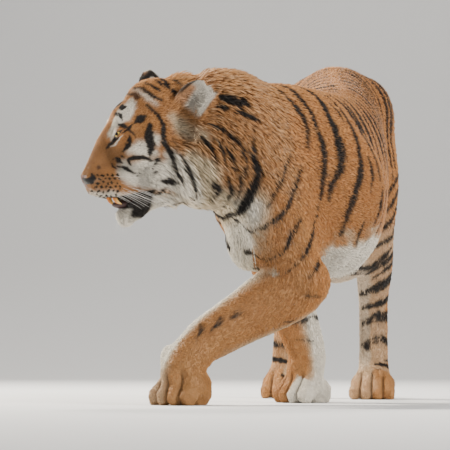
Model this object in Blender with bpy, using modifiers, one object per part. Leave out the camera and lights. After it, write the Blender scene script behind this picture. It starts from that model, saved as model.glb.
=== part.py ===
"""A life-size male tiger, walking with its left foreleg reaching forward and its head turned to its right.

The body is modelled whole, in clay-like pieces laid over a posed skeleton and fused into one closed
form, and is then parted with thin cuts into the sub-parts that a person would name. Metres, +Z up. The
tiger walks along -Y, its left side is at +X, and the floor is at z = 0 under the middle of its box.
"""

import math
from dataclasses import dataclass
from functools import partial

import bmesh
import bpy
from mathutils import Matrix, Vector

# Driving sizes
WITHERS_HEIGHT = 0.970
RUMP_HEIGHT = 1.076
BELLY_HEIGHT = 0.384
TRUNK_LENGTH = 0.84
EYE_RADIUS = 0.0175

# How the body turns, in degrees to the tiger's right of -Y
PELVIS_TURN = -17.0
CHEST_TURN = 25.0
HEAD_TURN = 53.0

# Making
BODY_VOXEL = 0.0070
HEAD_VOXEL = 0.0034
CUT_WIDTH = 0.0006
SOCKET_GAP = 0.0004
RING_POINTS = 48
HEAD_TRIANGLES = 3130
BODY_TRIANGLES = 4130

# The places of the chest, the pelvis and the nose tip that the pose is built from
CHEST_PLACE = Vector((0.116, 0.047, 0.0))
PELVIS_PLACE = Vector((0.036, 0.866, 0.0))
NOSE_PLACE = Vector((-0.312, -0.374, 0.667))

COAT = (0.72, 0.36, 0.13)
CREAM = (0.86, 0.80, 0.68)
AMBER = (0.75, 0.50, 0.12)


class Stance:
    """A heading in plan, at a place: gives points by how far forward, left and up they are."""

    def __init__(self, place, turn):
        angle = math.radians(turn)
        self.place = place
        self.forward = Vector((-math.sin(angle), -math.cos(angle), 0))
        self.left = Vector((math.cos(angle), -math.sin(angle), 0))
        self.up = Vector((0, 0, 1))

    def at(self, forward, left, up):
        """The point that far forward, left and up."""
        return self.place + self.forward * forward + self.left * left + self.up * up

    def basis(self, nod=0.0, lean=0.0):
        """Columns forward, left, up, with forward nodded down and left leaned up, in degrees."""
        frame = Matrix((self.forward, self.left, self.up)).transposed()
        nodding = Matrix.Rotation(math.radians(nod), 3, "Y")
        leaning = Matrix.Rotation(math.radians(lean), 3, "X")
        return frame @ nodding @ leaning


CHEST = Stance(CHEST_PLACE, CHEST_TURN)
PELVIS = Stance(PELVIS_PLACE, PELVIS_TURN)
HEAD = Stance(NOSE_PLACE, HEAD_TURN)


# ---------------------------------------------------------------- clay


def smooth_between(values, t):
    """Catmull-Rom through evenly spaced values, numbers or vectors, at t from 0 to len(values) - 1."""
    i = min(int(t), len(values) - 2)
    f = t - i
    a, b, c, d = (values[min(max(k, 0), len(values) - 1)] for k in range(i - 1, i + 3))
    return (b * 2 + (c - a) * f + (a * 2 - b * 5 + c * 4 - d) * f**2 + (b * 3 - a - c * 3 + d) * f**3) * 0.5


def ball(clay, stance, place, radii, nod=0.0, lean=0.0, swing=0.0):
    """An ellipsoid with its radii along forward, left and up, nodded, leaned and swung, in degrees."""
    turned = stance.basis(nod, lean) @ Matrix.Rotation(math.radians(swing), 3, "Z")
    shaped = turned @ Matrix.Diagonal(Vector(radii))
    matrix = Matrix.Translation(stance.at(*place)) @ shaped.to_4x4()
    bmesh.ops.create_icosphere(clay, subdivisions=3, radius=1.0, matrix=matrix)


def pair(clay, stance, place, radii, nod=0.0, lean=0.0, swing=0.0):
    """The same ellipsoid on the left and, mirrored, on the right."""
    forward, left, up = place
    ball(clay, stance, place, radii, nod, lean, swing)
    ball(clay, stance, (forward, -left, up), radii, nod, -lean, -swing)


def loft(clay, rings):
    """A closed skin over rings, each a list of points, with a fan at both ends."""
    rows = [[clay.verts.new(point) for point in ring] for ring in rings]
    made = []
    for near, far in zip(rows, rows[1:]):
        for k in range(len(near)):
            n = (k + 1) % len(near)
            made.append(clay.faces.new((near[k], near[n], far[n], far[k])))
    for ring, row, flip in ((rings[0], rows[0], True), (rings[-1], rows[-1], False)):
        middle = clay.verts.new(sum(ring, Vector()) / len(ring))
        for k in range(len(row)):
            n = (k + 1) % len(row)
            corners = (row[n], row[k], middle) if flip else (row[k], row[n], middle)
            made.append(clay.faces.new(corners))
    bmesh.ops.recalc_face_normals(clay, faces=made)


def ring_of(centre, side, rise, squareness=2.0, taper=0.0):
    """A ring round a centre, from a half-width and a half-height vector, narrower above by the taper."""
    points = []
    for k in range(RING_POINTS):
        angle = 2 * math.pi * k / RING_POINTS
        c, s = math.cos(angle), math.sin(angle)
        c = math.copysign(abs(c) ** (2 / squareness), c)
        s = math.copysign(abs(s) ** (2 / squareness), s)
        points.append(centre + side * c * (1 - taper * s) + rise * s)
    return points


def limb(clay, joints, side, steps=6):
    """A tapering limb through joints, each (point, half-width across, half-width fore and aft)."""
    points = [joint[0] for joint in joints]
    across = [joint[1] for joint in joints]
    fore = [joint[2] for joint in joints]
    rings = []
    count = steps * (len(joints) - 1)
    for k in range(count + 1):
        t = k / steps
        here = smooth_between(points, t)
        run = smooth_between(points, min(t + 0.1, len(points) - 1)) - smooth_between(points, max(t - 0.1, 0))
        run.normalize()
        out = (side - run * side.dot(run)).normalized()
        rise = run.cross(out)
        rings.append(ring_of(here, out * smooth_between(across, t), rise * smooth_between(fore, t)))
    loft(clay, rings)
    for joint, ends in ((joints[0], rings[0]), (joints[-1], rings[-1])):
        radius = min(joint[1], joint[2])
        matrix = Matrix.Translation(sum(ends, Vector()) / len(ends)) @ Matrix.Scale(radius, 4)
        bmesh.ops.create_icosphere(clay, subdivisions=2, radius=1.0, matrix=matrix)


def spine_at(s):
    """The place and the heading of the spine in plan, s metres behind the withers."""
    if s <= 0:
        return CHEST.at(-s, 0, 0), CHEST.forward
    if s >= TRUNK_LENGTH:
        return PELVIS.at(TRUNK_LENGTH - s, 0, 0), PELVIS.forward
    t = s / TRUNK_LENGTH
    start, end = CHEST.place, PELVIS.place
    go, arrive = -CHEST.forward * TRUNK_LENGTH, -PELVIS.forward * TRUNK_LENGTH
    place = (
        start * (2 * t**3 - 3 * t**2 + 1)
        + go * (t**3 - 2 * t**2 + t)
        + end * (-2 * t**3 + 3 * t**2)
        + arrive * (t**3 - t**2)
    )
    run = (
        start * (6 * t**2 - 6 * t)
        + go * (3 * t**2 - 4 * t + 1)
        + end * (-6 * t**2 + 6 * t)
        + arrive * (3 * t**2 - 2 * t)
    )
    return place, -run.normalized()


# ---------------------------------------------------------------- the body

# Behind the withers, half-width, top and bottom of the trunk
TRUNK_SECTIONS = (
    (-0.200, 0.060, 0.860, 0.640),
    (-0.140, 0.105, 0.905, 0.560),
    (-0.050, 0.143, 0.952, 0.432),
    (0.060, 0.165, WITHERS_HEIGHT, BELLY_HEIGHT + 0.011),
    (0.180, 0.180, WITHERS_HEIGHT - 0.008, BELLY_HEIGHT + 0.004),
    (0.310, 0.192, WITHERS_HEIGHT - 0.012, BELLY_HEIGHT),
    (0.440, 0.194, WITHERS_HEIGHT - 0.002, BELLY_HEIGHT - 0.002),
    (0.560, 0.184, WITHERS_HEIGHT + 0.030, BELLY_HEIGHT + 0.006),
    (0.670, 0.168, RUMP_HEIGHT - 0.038, 0.420),
    (0.770, 0.160, RUMP_HEIGHT - 0.006, 0.500),
    (0.860, 0.156, RUMP_HEIGHT, 0.590),
    (0.950, 0.142, RUMP_HEIGHT - 0.026, 0.650),
    (1.030, 0.108, RUMP_HEIGHT - 0.076, 0.700),
    (1.085, 0.055, 0.930, 0.770),
)


def add_trunk(clay):
    """The barrel of the body, lofted along the bent spine, with the ribs, the rump and the belly fold."""
    rings = []
    steps = 4
    for k in range(steps * (len(TRUNK_SECTIONS) - 1) + 1):
        t = k / steps
        s, half, top, bottom = (smooth_between([row[c] for row in TRUNK_SECTIONS], t) for c in range(4))
        place, forward = spine_at(s)
        left = Vector((-forward.y, forward.x, 0))
        middle = place + Vector((0, 0, (top + bottom) / 2))
        rings.append(ring_of(middle, left * half, Vector((0, 0, (top - bottom) / 2)), 2.25))
    loft(clay, rings)
    pair(clay, CHEST, (-0.190, 0.085, 0.640), (0.200, 0.105, 0.215), swing=-8)
    pair(clay, PELVIS, (-0.070, 0.080, 0.900), (0.170, 0.110, 0.150), nod=-14)
    # the loose fold of the belly, before the hindlegs
    ball(clay, PELVIS, (0.140, 0.0, 0.430), (0.160, 0.100, 0.060), nod=-8)
    pair(clay, PELVIS, (0.100, 0.105, 0.540), (0.080, 0.040, 0.150), nod=28)


# The neck from the skull to the chest: place, half-width, half-height
NECK_SECTIONS = (
    (HEAD.at(-0.285, 0.0, 0.100), 0.105, 0.170),
    (HEAD.at(-0.365, 0.012, 0.118), 0.138, 0.206),
    (HEAD.at(-0.440, 0.045, 0.125), 0.155, 0.212),
    (CHEST.at(0.060, -0.010, 0.760), 0.158, 0.222),
    (CHEST.at(-0.040, 0.0, 0.720), 0.155, 0.230),
)


def add_neck(clay):
    """The thick neck, turning from the chest to the head, and the breast below it."""
    places = [section[0] for section in NECK_SECTIONS]
    halves = [section[1] for section in NECK_SECTIONS]
    heights = [section[2] for section in NECK_SECTIONS]
    count = len(places) - 1
    steps = 6
    rings = []
    for k in range(steps * count + 1):
        t = k / steps
        ahead = smooth_between(places, min(t + 0.1, count))
        behind = smooth_between(places, max(t - 0.1, 0))
        side = (ahead - behind).cross(Vector((0, 0, 1))).normalized()
        rise = Vector((0, 0, smooth_between(heights, t)))
        rings.append(ring_of(smooth_between(places, t), side * smooth_between(halves, t), rise, 2.1, 0.22))
    loft(clay, rings)
    ball(clay, CHEST, (0.050, 0.000, 0.530), (0.085, 0.100, 0.145), nod=-12)
    ball(clay, CHEST, (0.085, 0.030, 0.640), (0.110, 0.110, 0.130))


# Each leg: shoulder or hip and the joints below it, as (forward, left, up) of the chest or the pelvis
FORE_LEFT = (
    (0.010, 0.075, 0.920),
    (0.165, 0.145, 0.610),
    (-0.005, 0.150, 0.365),
    (0.245, -0.021, 0.186),
)
FORE_RIGHT = (
    (0.000, -0.075, 0.920),
    (0.030, -0.125, 0.630),
    (-0.160, -0.130, 0.440),
    (-0.255, -0.085, 0.150),
)
HIND_LEFT = (
    (-0.100, 0.110, 0.850),
    (0.095, 0.128, 0.540),
    (-0.150, 0.112, 0.305),
    (-0.105, 0.115, 0.050),
)
HIND_RIGHT = (
    (-0.100, -0.110, 0.850),
    (0.040, -0.140, 0.510),
    (-0.255, -0.168, 0.320),
    (-0.290, -0.185, 0.050),
)


def add_shoulders(clay):
    """Shoulder blades, upper arms and their muscles, from the withers to the elbows."""
    out = CHEST.left
    for joints, side in ((FORE_LEFT, 1), (FORE_RIGHT, -1)):
        blade, shoulder, elbow, _ = (CHEST.at(*joint) for joint in joints)
        halfway = (blade + shoulder) / 2
        limb(clay, [(blade, 0.030, 0.060), (halfway, 0.055, 0.095), (shoulder, 0.070, 0.080)], out)
        halfway = (shoulder + elbow) / 2
        limb(clay, [(shoulder, 0.073, 0.083), (halfway, 0.076, 0.096), (elbow, 0.064, 0.084)], out)
        triceps = blade.lerp(elbow, 0.62) + out * side * 0.004
        turned = CHEST.basis(12) @ Matrix.Diagonal(Vector((0.090, 0.054, 0.200)))
        matrix = Matrix.Translation(triceps) @ turned.to_4x4()
        bmesh.ops.create_icosphere(clay, subdivisions=4, radius=1.0, matrix=matrix)


def add_thighs(clay):
    """Thighs from the hips to the knees, and the hams behind them."""
    out = PELVIS.left
    for joints in (HIND_LEFT, HIND_RIGHT):
        hip, knee, hock, _ = (PELVIS.at(*joint) for joint in joints)
        thigh = hip.lerp(knee, 0.5) - PELVIS.forward * 0.030
        limb(clay, [(hip, 0.075, 0.140), (thigh, 0.084, 0.150), (knee, 0.062, 0.082)], out)
        ham = hip.lerp(knee, 0.50) - PELVIS.forward * 0.115
        turned = PELVIS.basis(-24) @ Matrix.Diagonal(Vector((0.085, 0.072, 0.200)))
        matrix = Matrix.Translation(ham) @ turned.to_4x4()
        bmesh.ops.create_icosphere(clay, subdivisions=4, radius=1.0, matrix=matrix)
        limb(clay, [(knee, 0.064, 0.082), (knee.lerp(hock, 0.4) - PELVIS.forward * 0.012, 0.062, 0.078)], out)


@dataclass
class Paw:
    """A paw on the floor: its stance, its size, and the wrist or hock that it hangs from.

    The rise and the reach are how far up and forward the knuckles are moved as the paw lands.
    """

    stance: Stance
    wrist: Vector
    thick: float
    size: float = 1.0
    rise: float = 0.0
    reach: float = 0.018

    def add(self, clay):
        """Pastern, pad and four toes, the middle two longest, each with its tip bent down."""
        k = self.size
        stance = self.stance
        knuckles = stance.at(self.reach * k, 0, 0.060 * k + self.rise)
        pastern = [
            (self.wrist, self.thick, self.thick),
            (self.wrist.lerp(knuckles, 0.55), 0.058 * k, 0.054 * k),
            (knuckles, 0.065 * k, 0.046 * k),
        ]
        limb(clay, pastern, stance.left, steps=4)
        ball(clay, stance, (-0.012 * k, 0, 0.028 * k), (0.062 * k, 0.060 * k, 0.040 * k))
        ball(clay, stance, (-0.028 * k, 0, 0.030 * k + self.rise), (0.050 * k, 0.050 * k, 0.048 * k))
        for toe in range(4):
            across = (toe - 1.5) / 1.5
            reach = (0.062 - 0.016 * abs(across)) * k
            swing = -12 * across
            base = (reach - 0.014 * k, 0.052 * across * k, 0.044 * k)
            ball(clay, stance, base, (0.042 * k, 0.0205 * k, 0.034 * k), nod=20, swing=swing)
            tip = (reach + 0.016 * k, 0.060 * across * k, 0.022 * k)
            ball(clay, stance, tip, (0.027 * k, 0.0185 * k, 0.029 * k), swing=swing)


def add_forearms(clay):
    """Both forearms and paws: the left one reaching forward, the right one carrying."""
    for joints, paw, thick in ((FORE_LEFT, PAW_FORE_LEFT, 1.12), (FORE_RIGHT, PAW_FORE_RIGHT, 1.0)):
        elbow, wrist = CHEST.at(*joints[2]), CHEST.at(*joints[3])
        arm = [
            (elbow, 0.080 * thick, 0.086 * thick),
            (elbow.lerp(wrist, 0.28), 0.078 * thick, 0.086 * thick),
            (elbow.lerp(wrist, 0.60), 0.065 * thick, 0.073 * thick),
            (wrist, 0.058 * thick, 0.061 * thick),
        ]
        limb(clay, arm, CHEST.left)
        paw.add(clay)
    # the first toe, held up on the inner side of each wrist
    ball(clay, PAW_FORE_LEFT.stance, (0.036, -0.046, 0.152), (0.022, 0.024, 0.034), nod=-20)
    ball(clay, Stance(CHEST.at(*FORE_RIGHT[3]), 27.0), (0.020, 0.046, -0.030), (0.020, 0.016, 0.030), nod=20)


def add_shanks(clay):
    """Both hindlegs below the knee: calf, heel bone, long foot and paw."""
    out = PELVIS.left
    for joints, paw in ((HIND_LEFT, PAW_HIND_LEFT), (HIND_RIGHT, PAW_HIND_RIGHT)):
        _, knee, hock, foot = (PELVIS.at(*joint) for joint in joints)
        calf = knee.lerp(hock, 0.42) - PELVIS.forward * 0.012
        limb(clay, [(knee, 0.062, 0.080), (calf, 0.062, 0.074), (hock, 0.047, 0.052)], out)
        heel = hock - PELVIS.forward * 0.024 + Vector((0, 0, 0.022))
        cannon = [
            (heel, 0.034, 0.036),
            (hock, 0.047, 0.052),
            (hock.lerp(foot, 0.55), 0.048, 0.048),
            (foot, 0.052, 0.046),
        ]
        limb(clay, cannon, out)
        paw.add(clay)


PAW_FORE_LEFT = Paw(
    Stance(Vector((-0.043, -0.192, 0.0)), 17.0), CHEST.at(*FORE_LEFT[3]), 0.064, 1.12, 0.026, 0.045
)
PAW_FORE_RIGHT = Paw(Stance(CHEST.at(-0.262, -0.090, 0.0), 27.0), CHEST.at(*FORE_RIGHT[3]), 0.058, 1.05)
PAW_HIND_LEFT = Paw(Stance(PELVIS.at(-0.085, 0.115, 0.0), -15.0), PELVIS.at(-0.105, 0.115, 0.09), 0.050)
PAW_HIND_RIGHT = Paw(Stance(PELVIS.at(-0.270, -0.185, 0.0), -15.0), PELVIS.at(-0.290, -0.185, 0.09), 0.050)


TAIL_JOINTS = (
    (PELVIS.at(-0.215, 0.0, 0.925), 0.054),
    (PELVIS.at(-0.300, 0.015, 0.820), 0.045),
    (PELVIS.at(-0.350, 0.045, 0.660), 0.039),
    (PELVIS.at(-0.400, 0.075, 0.480), 0.037),
    (PELVIS.at(-0.480, 0.090, 0.320), 0.037),
    (PELVIS.at(-0.600, 0.090, 0.255), 0.037),
    (PELVIS.at(-0.715, 0.085, 0.310), 0.035),
    (PELVIS.at(-0.765, 0.080, 0.395), 0.027),
)


def add_tail(clay):
    """The tail, hanging behind the left hindleg with its end curled up."""
    limb(clay, [(point, radius, radius) for point, radius in TAIL_JOINTS], PELVIS.left)


# ---------------------------------------------------------------- the head

# Places on the head are (forward, left, up) from the nose tip, as it is held, nose down
EYE_PLACE = (-0.109, 0.0600, 0.125)


def add_skull(clay):
    """Cranium, brow, bridge of the nose, cheeks and ruff."""
    ball(clay, HEAD, (-0.245, 0, 0.200), (0.115, 0.098, 0.100), nod=-22)
    ball(clay, HEAD, (-0.300, 0, 0.190), (0.095, 0.098, 0.132), nod=-10)
    ball(clay, HEAD, (-0.168, 0, 0.160), (0.080, 0.080, 0.072), nod=-45)
    bridge = [
        (HEAD.at(-0.028, 0, 0.000), 0.034, 0.024),
        (HEAD.at(-0.056, 0, 0.052), 0.040, 0.027),
        (HEAD.at(-0.092, 0, 0.110), 0.046, 0.036),
        (HEAD.at(-0.138, 0, 0.166), 0.060, 0.041),
        (HEAD.at(-0.195, 0, 0.216), 0.066, 0.042),
    ]
    limb(clay, bridge, HEAD.left)
    # brow ridges over the eyes, and the rims of the sockets below and behind them
    pair(clay, HEAD, (-0.126, 0.053, 0.150), (0.044, 0.029, 0.025), nod=-48, swing=-14)
    pair(clay, HEAD, (-0.150, 0.071, 0.126), (0.035, 0.024, 0.038), nod=-30)
    pair(clay, HEAD, (-0.108, 0.052, 0.094), (0.044, 0.026, 0.024), nod=-50, swing=-12)
    pair(clay, HEAD, (-0.128, 0.062, 0.082), (0.050, 0.024, 0.036), nod=-40, swing=-12)
    # cheeks and the muscles of the jaw
    pair(clay, HEAD, (-0.176, 0.074, 0.070), (0.070, 0.044, 0.062), nod=-30)
    pair(clay, HEAD, (-0.218, 0.088, 0.100), (0.070, 0.040, 0.080), nod=-10)
    pair(clay, HEAD, (-0.238, 0.088, 0.020), (0.072, 0.052, 0.082))
    # ruff, widest behind the corner of the jaw
    pair(clay, HEAD, (-0.288, 0.102, 0.022), (0.062, 0.060, 0.104), nod=8, swing=20)
    pair(clay, HEAD, (-0.262, 0.070, -0.022), (0.070, 0.060, 0.058))
    ball(clay, HEAD, (-0.275, 0, 0.000), (0.085, 0.110, 0.080))


def add_muzzle(clay):
    """Nose, whisker pads and upper lips."""
    ball(clay, HEAD, (-0.108, 0, 0.018), (0.080, 0.056, 0.066), nod=-30)
    ball(clay, HEAD, (-0.150, 0, 0.020), (0.080, 0.072, 0.070), nod=-20)
    pair(clay, HEAD, (-0.070, 0.036, -0.018), (0.046, 0.036, 0.034), nod=22, swing=-14)
    pair(clay, HEAD, (-0.098, 0.048, -0.024), (0.050, 0.034, 0.036), nod=10, swing=-10)
    pair(clay, HEAD, (-0.148, 0.060, -0.012), (0.055, 0.030, 0.036), nod=-8, swing=-8)
    pair(clay, HEAD, (-0.030, 0.020, -0.002), (0.022, 0.018, 0.018), nod=30)
    ball(clay, HEAD, (-0.022, 0, 0.002), (0.021, 0.027, 0.018), nod=-30)
    ball(clay, HEAD, (-0.050, 0, -0.020), (0.028, 0.028, 0.022), nod=30)


def add_jaw(clay):
    """Lower jaw, chin and lower lips, dropped a little."""
    jaw = [
        (HEAD.at(-0.136, 0, -0.103), 0.034, 0.027),
        (HEAD.at(-0.162, 0, -0.092), 0.050, 0.034),
        (HEAD.at(-0.195, 0, -0.066), 0.066, 0.034),
        (HEAD.at(-0.250, 0, -0.036), 0.088, 0.046),
    ]
    limb(clay, jaw, HEAD.left)
    ball(clay, HEAD, (-0.139, 0, -0.112), (0.027, 0.033, 0.032))
    pair(clay, HEAD, (-0.162, 0.048, -0.076), (0.038, 0.019, 0.024), nod=-22)


@dataclass
class Ear:
    """A cupped ear: where it grows, the way it rises and the way it opens, all as (forward, left, up)."""

    root: tuple
    rise: tuple
    opening: tuple
    height: float = 0.112
    half: float = 0.046
    cup: float = 0.036

    def directions(self):
        """Unit vectors of the rise, of the opening, and across."""
        rise = (HEAD.forward * self.rise[0] + HEAD.left * self.rise[1] + HEAD.up * self.rise[2]).normalized()
        opening = HEAD.forward * self.opening[0] + HEAD.left * self.opening[1] + HEAD.up * self.opening[2]
        opening = (opening - rise * opening.dot(rise)).normalized()
        return rise, opening, rise.cross(opening)

    def add(self, clay):
        """A closed shell, lofted from inside the head to the round tip, thinning upward."""
        rise, opening, across = self.directions()
        root = HEAD.at(*self.root)
        rings = []
        rows = 14
        points = 13
        for k in range(rows + 1):
            t = k / rows
            level = max(t * 1.25 - 0.25, 0.0)
            half = self.half * (1 - level**3.4) ** 0.5 * (0.84 + 0.22 * math.sin(math.pi * min(level, 0.8)))
            half = max(half, 0.007)
            cup = self.cup * (1 - 0.85 * level)
            wall = 0.0100 - 0.0035 * level
            outer, inner = [], []
            for j in range(points):
                angle = math.radians(-90 + 180 * j / (points - 1))
                s, c = math.sin(angle), math.cos(angle)
                middle = root + rise * self.height * (t * 1.25 - 0.25)
                outer.append(middle + across * half * s - opening * (cup * c + 0.002))
                inner.append(middle + across * (half - wall * 0.6) * s - opening * (cup * c - wall))
            rings.append(outer + inner[::-1])
        loft(clay, rings)


EAR_LEFT = Ear((-0.285, 0.100, 0.190), (-0.50, 0.28, 0.82), (0.30, 0.94, -0.05), 0.118, 0.045)
EAR_RIGHT = Ear((-0.238, -0.082, 0.236), (-0.02, -0.28, 1.0), (0.35, -0.95, 0.0), 0.102)


# ---------------------------------------------------------------- the parting of the body

# The mouth and the lower jaw, from the front back: forward, half-width, top, bottom
MOUTH = (
    (0.020, 0.200, -0.058, -0.086),
    (-0.090, 0.200, -0.058, -0.085),
    (-0.130, 0.200, -0.057, -0.079),
    (-0.152, 0.200, -0.056, -0.067),
    (-0.168, 0.200, -0.0545, -0.0565),
)
JAW = (
    (0.020, 0.200, -0.070, -0.300),
    (-0.130, 0.200, -0.067, -0.300),
    (-0.168, 0.200, -0.0555, -0.300),
    (-0.232, 0.200, -0.040, -0.300),
)

# Each region: its stance, and levels from low to high of (up, back, front, right, left)
HEAD_REGION = (HEAD, ((-0.210, -0.365, 0.2, -0.4, 0.4), (0.50, -0.365, 0.2, -0.4, 0.4)))
NECK_REGION = (CHEST, ((0.50, 0.165, 0.9, -0.5, 0.105), (1.10, 0.045, 0.9, -0.5, 0.350)))
FORE_LEFT_REGION = (CHEST, ((-0.10, -0.125, 0.7, -0.348, 0.6), (0.68, -0.125, 0.7, 0.250, 0.6)))
FORE_RIGHT_REGION = (CHEST, ((-0.10, -0.420, 0.12, -0.6, 0.348), (0.68, -0.160, 0.12, -0.6, -0.250)))
TAIL_REGION = (PELVIS, ((0.10, -1.2, -0.262, -0.065, 0.25), (1.10, -1.2, -0.262, -0.065, 0.25)))
TAIL_TIP_REGION = (PELVIS, ((0.10, -1.2, -0.545, -0.065, 0.25), (1.10, -1.2, -0.545, -0.065, 0.25)))
TAIL_MIDDLE_REGION = (PELVIS, ((0.10, -1.2, 0.0, -0.065, 0.25), (0.60, -1.2, 0.0, -0.065, 0.25)))
HIND_LEFT_REGION = (
    PELVIS,
    ((-0.10, -0.5, 0.20, 0.0, 0.4), (0.54, -0.5, 0.20, 0.0, 0.4), (0.84, -0.5, 0.06, 0.20, 0.4)),
)
HIND_RIGHT_REGION = (
    PELVIS,
    ((-0.10, -0.5, 0.20, -0.4, 0.0), (0.54, -0.5, 0.20, -0.4, 0.0), (0.84, -0.5, 0.06, -0.4, -0.20)),
)
FLOOR_REGION = (Stance(Vector((0, 0, 0)), 0), ((-0.30, -3, 3, -3, 3), (0.0, -3, 3, -3, 3)))


def cutter_of(name, rings, collection):
    """A hidden solid to cut with, lofted through four-cornered rings."""
    shape = bmesh.new()
    loft(shape, rings)
    mesh = bpy.data.meshes.new(name)
    shape.to_mesh(mesh)
    shape.free()
    return add_object(name, mesh, collection)


def region_cutter(name, region, collection, grow=0.0):
    """The cutter of a region, grown outward on every side."""
    stance, levels = region
    rings = []
    for k, (up, back, front, right, left) in enumerate(levels):
        rise = up - grow if k == 0 else up + grow
        plan = ((back - grow, right - grow), (front + grow, right - grow))
        plan += ((front + grow, left + grow), (back - grow, left + grow))
        rings.append([stance.at(f, side, rise) for f, side in plan])
    return cutter_of(name, rings, collection)


def mouth_cutter(name, rows, collection, grow=0.0):
    """The cutter of the mouth or of the lower jaw, lofted from the front back."""
    rings = []
    for k, (forward, half, top, bottom) in enumerate(rows):
        reach = forward - grow if k == len(rows) - 1 else forward
        corners = ((-half, bottom), (half, bottom), (half, top + grow), (-half, top + grow))
        rings.append([HEAD.at(reach, left, up) for left, up in corners])
    return cutter_of(name, rings, collection)


def part_off(thing, name, make_cutter, collection, cutters):
    """Takes what lies in a cutter off a thing as an object of its own, leaving a thin gap."""
    taken = add_object(name, thing.data.copy(), collection)
    cut(taken, make_cutter(name + "_region", cutters, 0.0), "INTERSECT")
    cut(thing, make_cutter(name + "_gap", cutters, CUT_WIDTH))
    return taken


# ---------------------------------------------------------------- Blender objects


def clear_scene():
    """Removes every object of the file."""
    for thing in list(bpy.data.objects):
        bpy.data.objects.remove(thing)


def material_of(name, colour, roughness):
    """A plain Principled material."""
    made = bpy.data.materials.new(name)
    made.use_nodes = True
    shader = made.node_tree.nodes["Principled BSDF"]
    shader.inputs["Base Color"].default_value = (*colour, 1)
    shader.inputs["Roughness"].default_value = roughness
    return made


def add_object(name, mesh, collection):
    """A new object; in the collection of cutters it is drawn as wire and left out of renders."""
    made = bpy.data.objects.new(name, mesh)
    collection.objects.link(made)
    if collection.name == "cutters":
        made.hide_render = True
        made.display_type = "WIRE"
    return made


def baked(thing):
    """The object's mesh with its modifiers applied, in place of the object's own mesh."""
    graph = bpy.context.evaluated_depsgraph_get()
    mesh = bpy.data.meshes.new_from_object(thing.evaluated_get(graph))
    thing.modifiers.clear()
    thing.data = mesh
    return thing


def softened(clay, collection, voxel, hollow, rounds):
    """Clay fused into one form, every hollow between its pieces filled to a radius, then smoothed."""
    mesh = bpy.data.meshes.new("clay")
    clay.to_mesh(mesh)
    clay.free()
    thing = add_object("clay", mesh, collection)
    for strength in (hollow, -hollow):
        remesh = thing.modifiers.new("fuse", "REMESH")
        remesh.mode = "VOXEL"
        remesh.voxel_size = voxel
        swell = thing.modifiers.new("swell", "DISPLACE")
        swell.mid_level = 0.0
        swell.strength = strength
        smooth = thing.modifiers.new("soften", "SMOOTH")
        smooth.factor = 0.5
        smooth.iterations = rounds
    return baked(thing)


def fused(things, name, voxel, rounds, triangles):
    """Several forms as one: joined, remeshed, smoothed, and with only the faces that the shape needs."""
    thing = things[0]
    shape = bmesh.new()
    for piece in things:
        shape.from_mesh(piece.data)
    mesh = bpy.data.meshes.new(name)
    shape.to_mesh(mesh)
    shape.free()
    thing.data = mesh
    thing.name = name
    for piece in things[1:]:
        bpy.data.objects.remove(piece)
    remesh = thing.modifiers.new("fuse", "REMESH")
    remesh.mode = "VOXEL"
    remesh.voxel_size = voxel
    smooth = thing.modifiers.new("soften", "SMOOTH")
    smooth.factor = 0.5
    smooth.iterations = rounds
    baked(thing)
    decimate = thing.modifiers.new("facet", "DECIMATE")
    decimate.ratio = triangles / (2 * len(thing.data.polygons))
    decimate.use_collapse_triangulate = True
    return baked(thing)


def cut(thing, cutter, operation="DIFFERENCE"):
    """One Boolean, applied."""
    boolean = thing.modifiers.new("cut", "BOOLEAN")
    boolean.operation = operation
    boolean.solver = "EXACT"
    boolean.object = cutter
    return baked(thing)


def clay_of(*makers):
    """The clay that several makers lay down."""
    clay = bmesh.new()
    for maker in makers:
        maker(clay)
    return clay


def add_ball(name, place, radius, collection):
    """A faceted ball as an object."""
    shape = bmesh.new()
    matrix = Matrix.Translation(place)
    bmesh.ops.create_icosphere(shape, subdivisions=3, radius=radius, matrix=matrix)
    mesh = bpy.data.meshes.new(name)
    shape.to_mesh(mesh)
    shape.free()
    return add_object(name, mesh, collection)


def add_canine(side, collection):
    """One upper canine: a cone that leans back, from inside the lip."""
    shape = bmesh.new()
    root = HEAD.at(-0.104, 0.032 * side, -0.034)
    tip = HEAD.at(-0.139, 0.031 * side, -0.073)
    middle = root.lerp(tip, 0.55)
    limb(shape, [(root, 0.0105, 0.0120), (middle, 0.0075, 0.0085), (tip, 0.0022, 0.0024)], HEAD.left, 3)
    mesh = bpy.data.meshes.new("canine")
    shape.to_mesh(mesh)
    shape.free()
    canine = add_object("canine", mesh, collection)
    remesh = canine.modifiers.new("fuse", "REMESH")
    remesh.mode = "VOXEL"
    remesh.voxel_size = 0.0022
    decimate = canine.modifiers.new("facet", "DECIMATE")
    decimate.ratio = 0.08
    decimate.use_collapse_triangulate = True
    return baked(canine)


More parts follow.
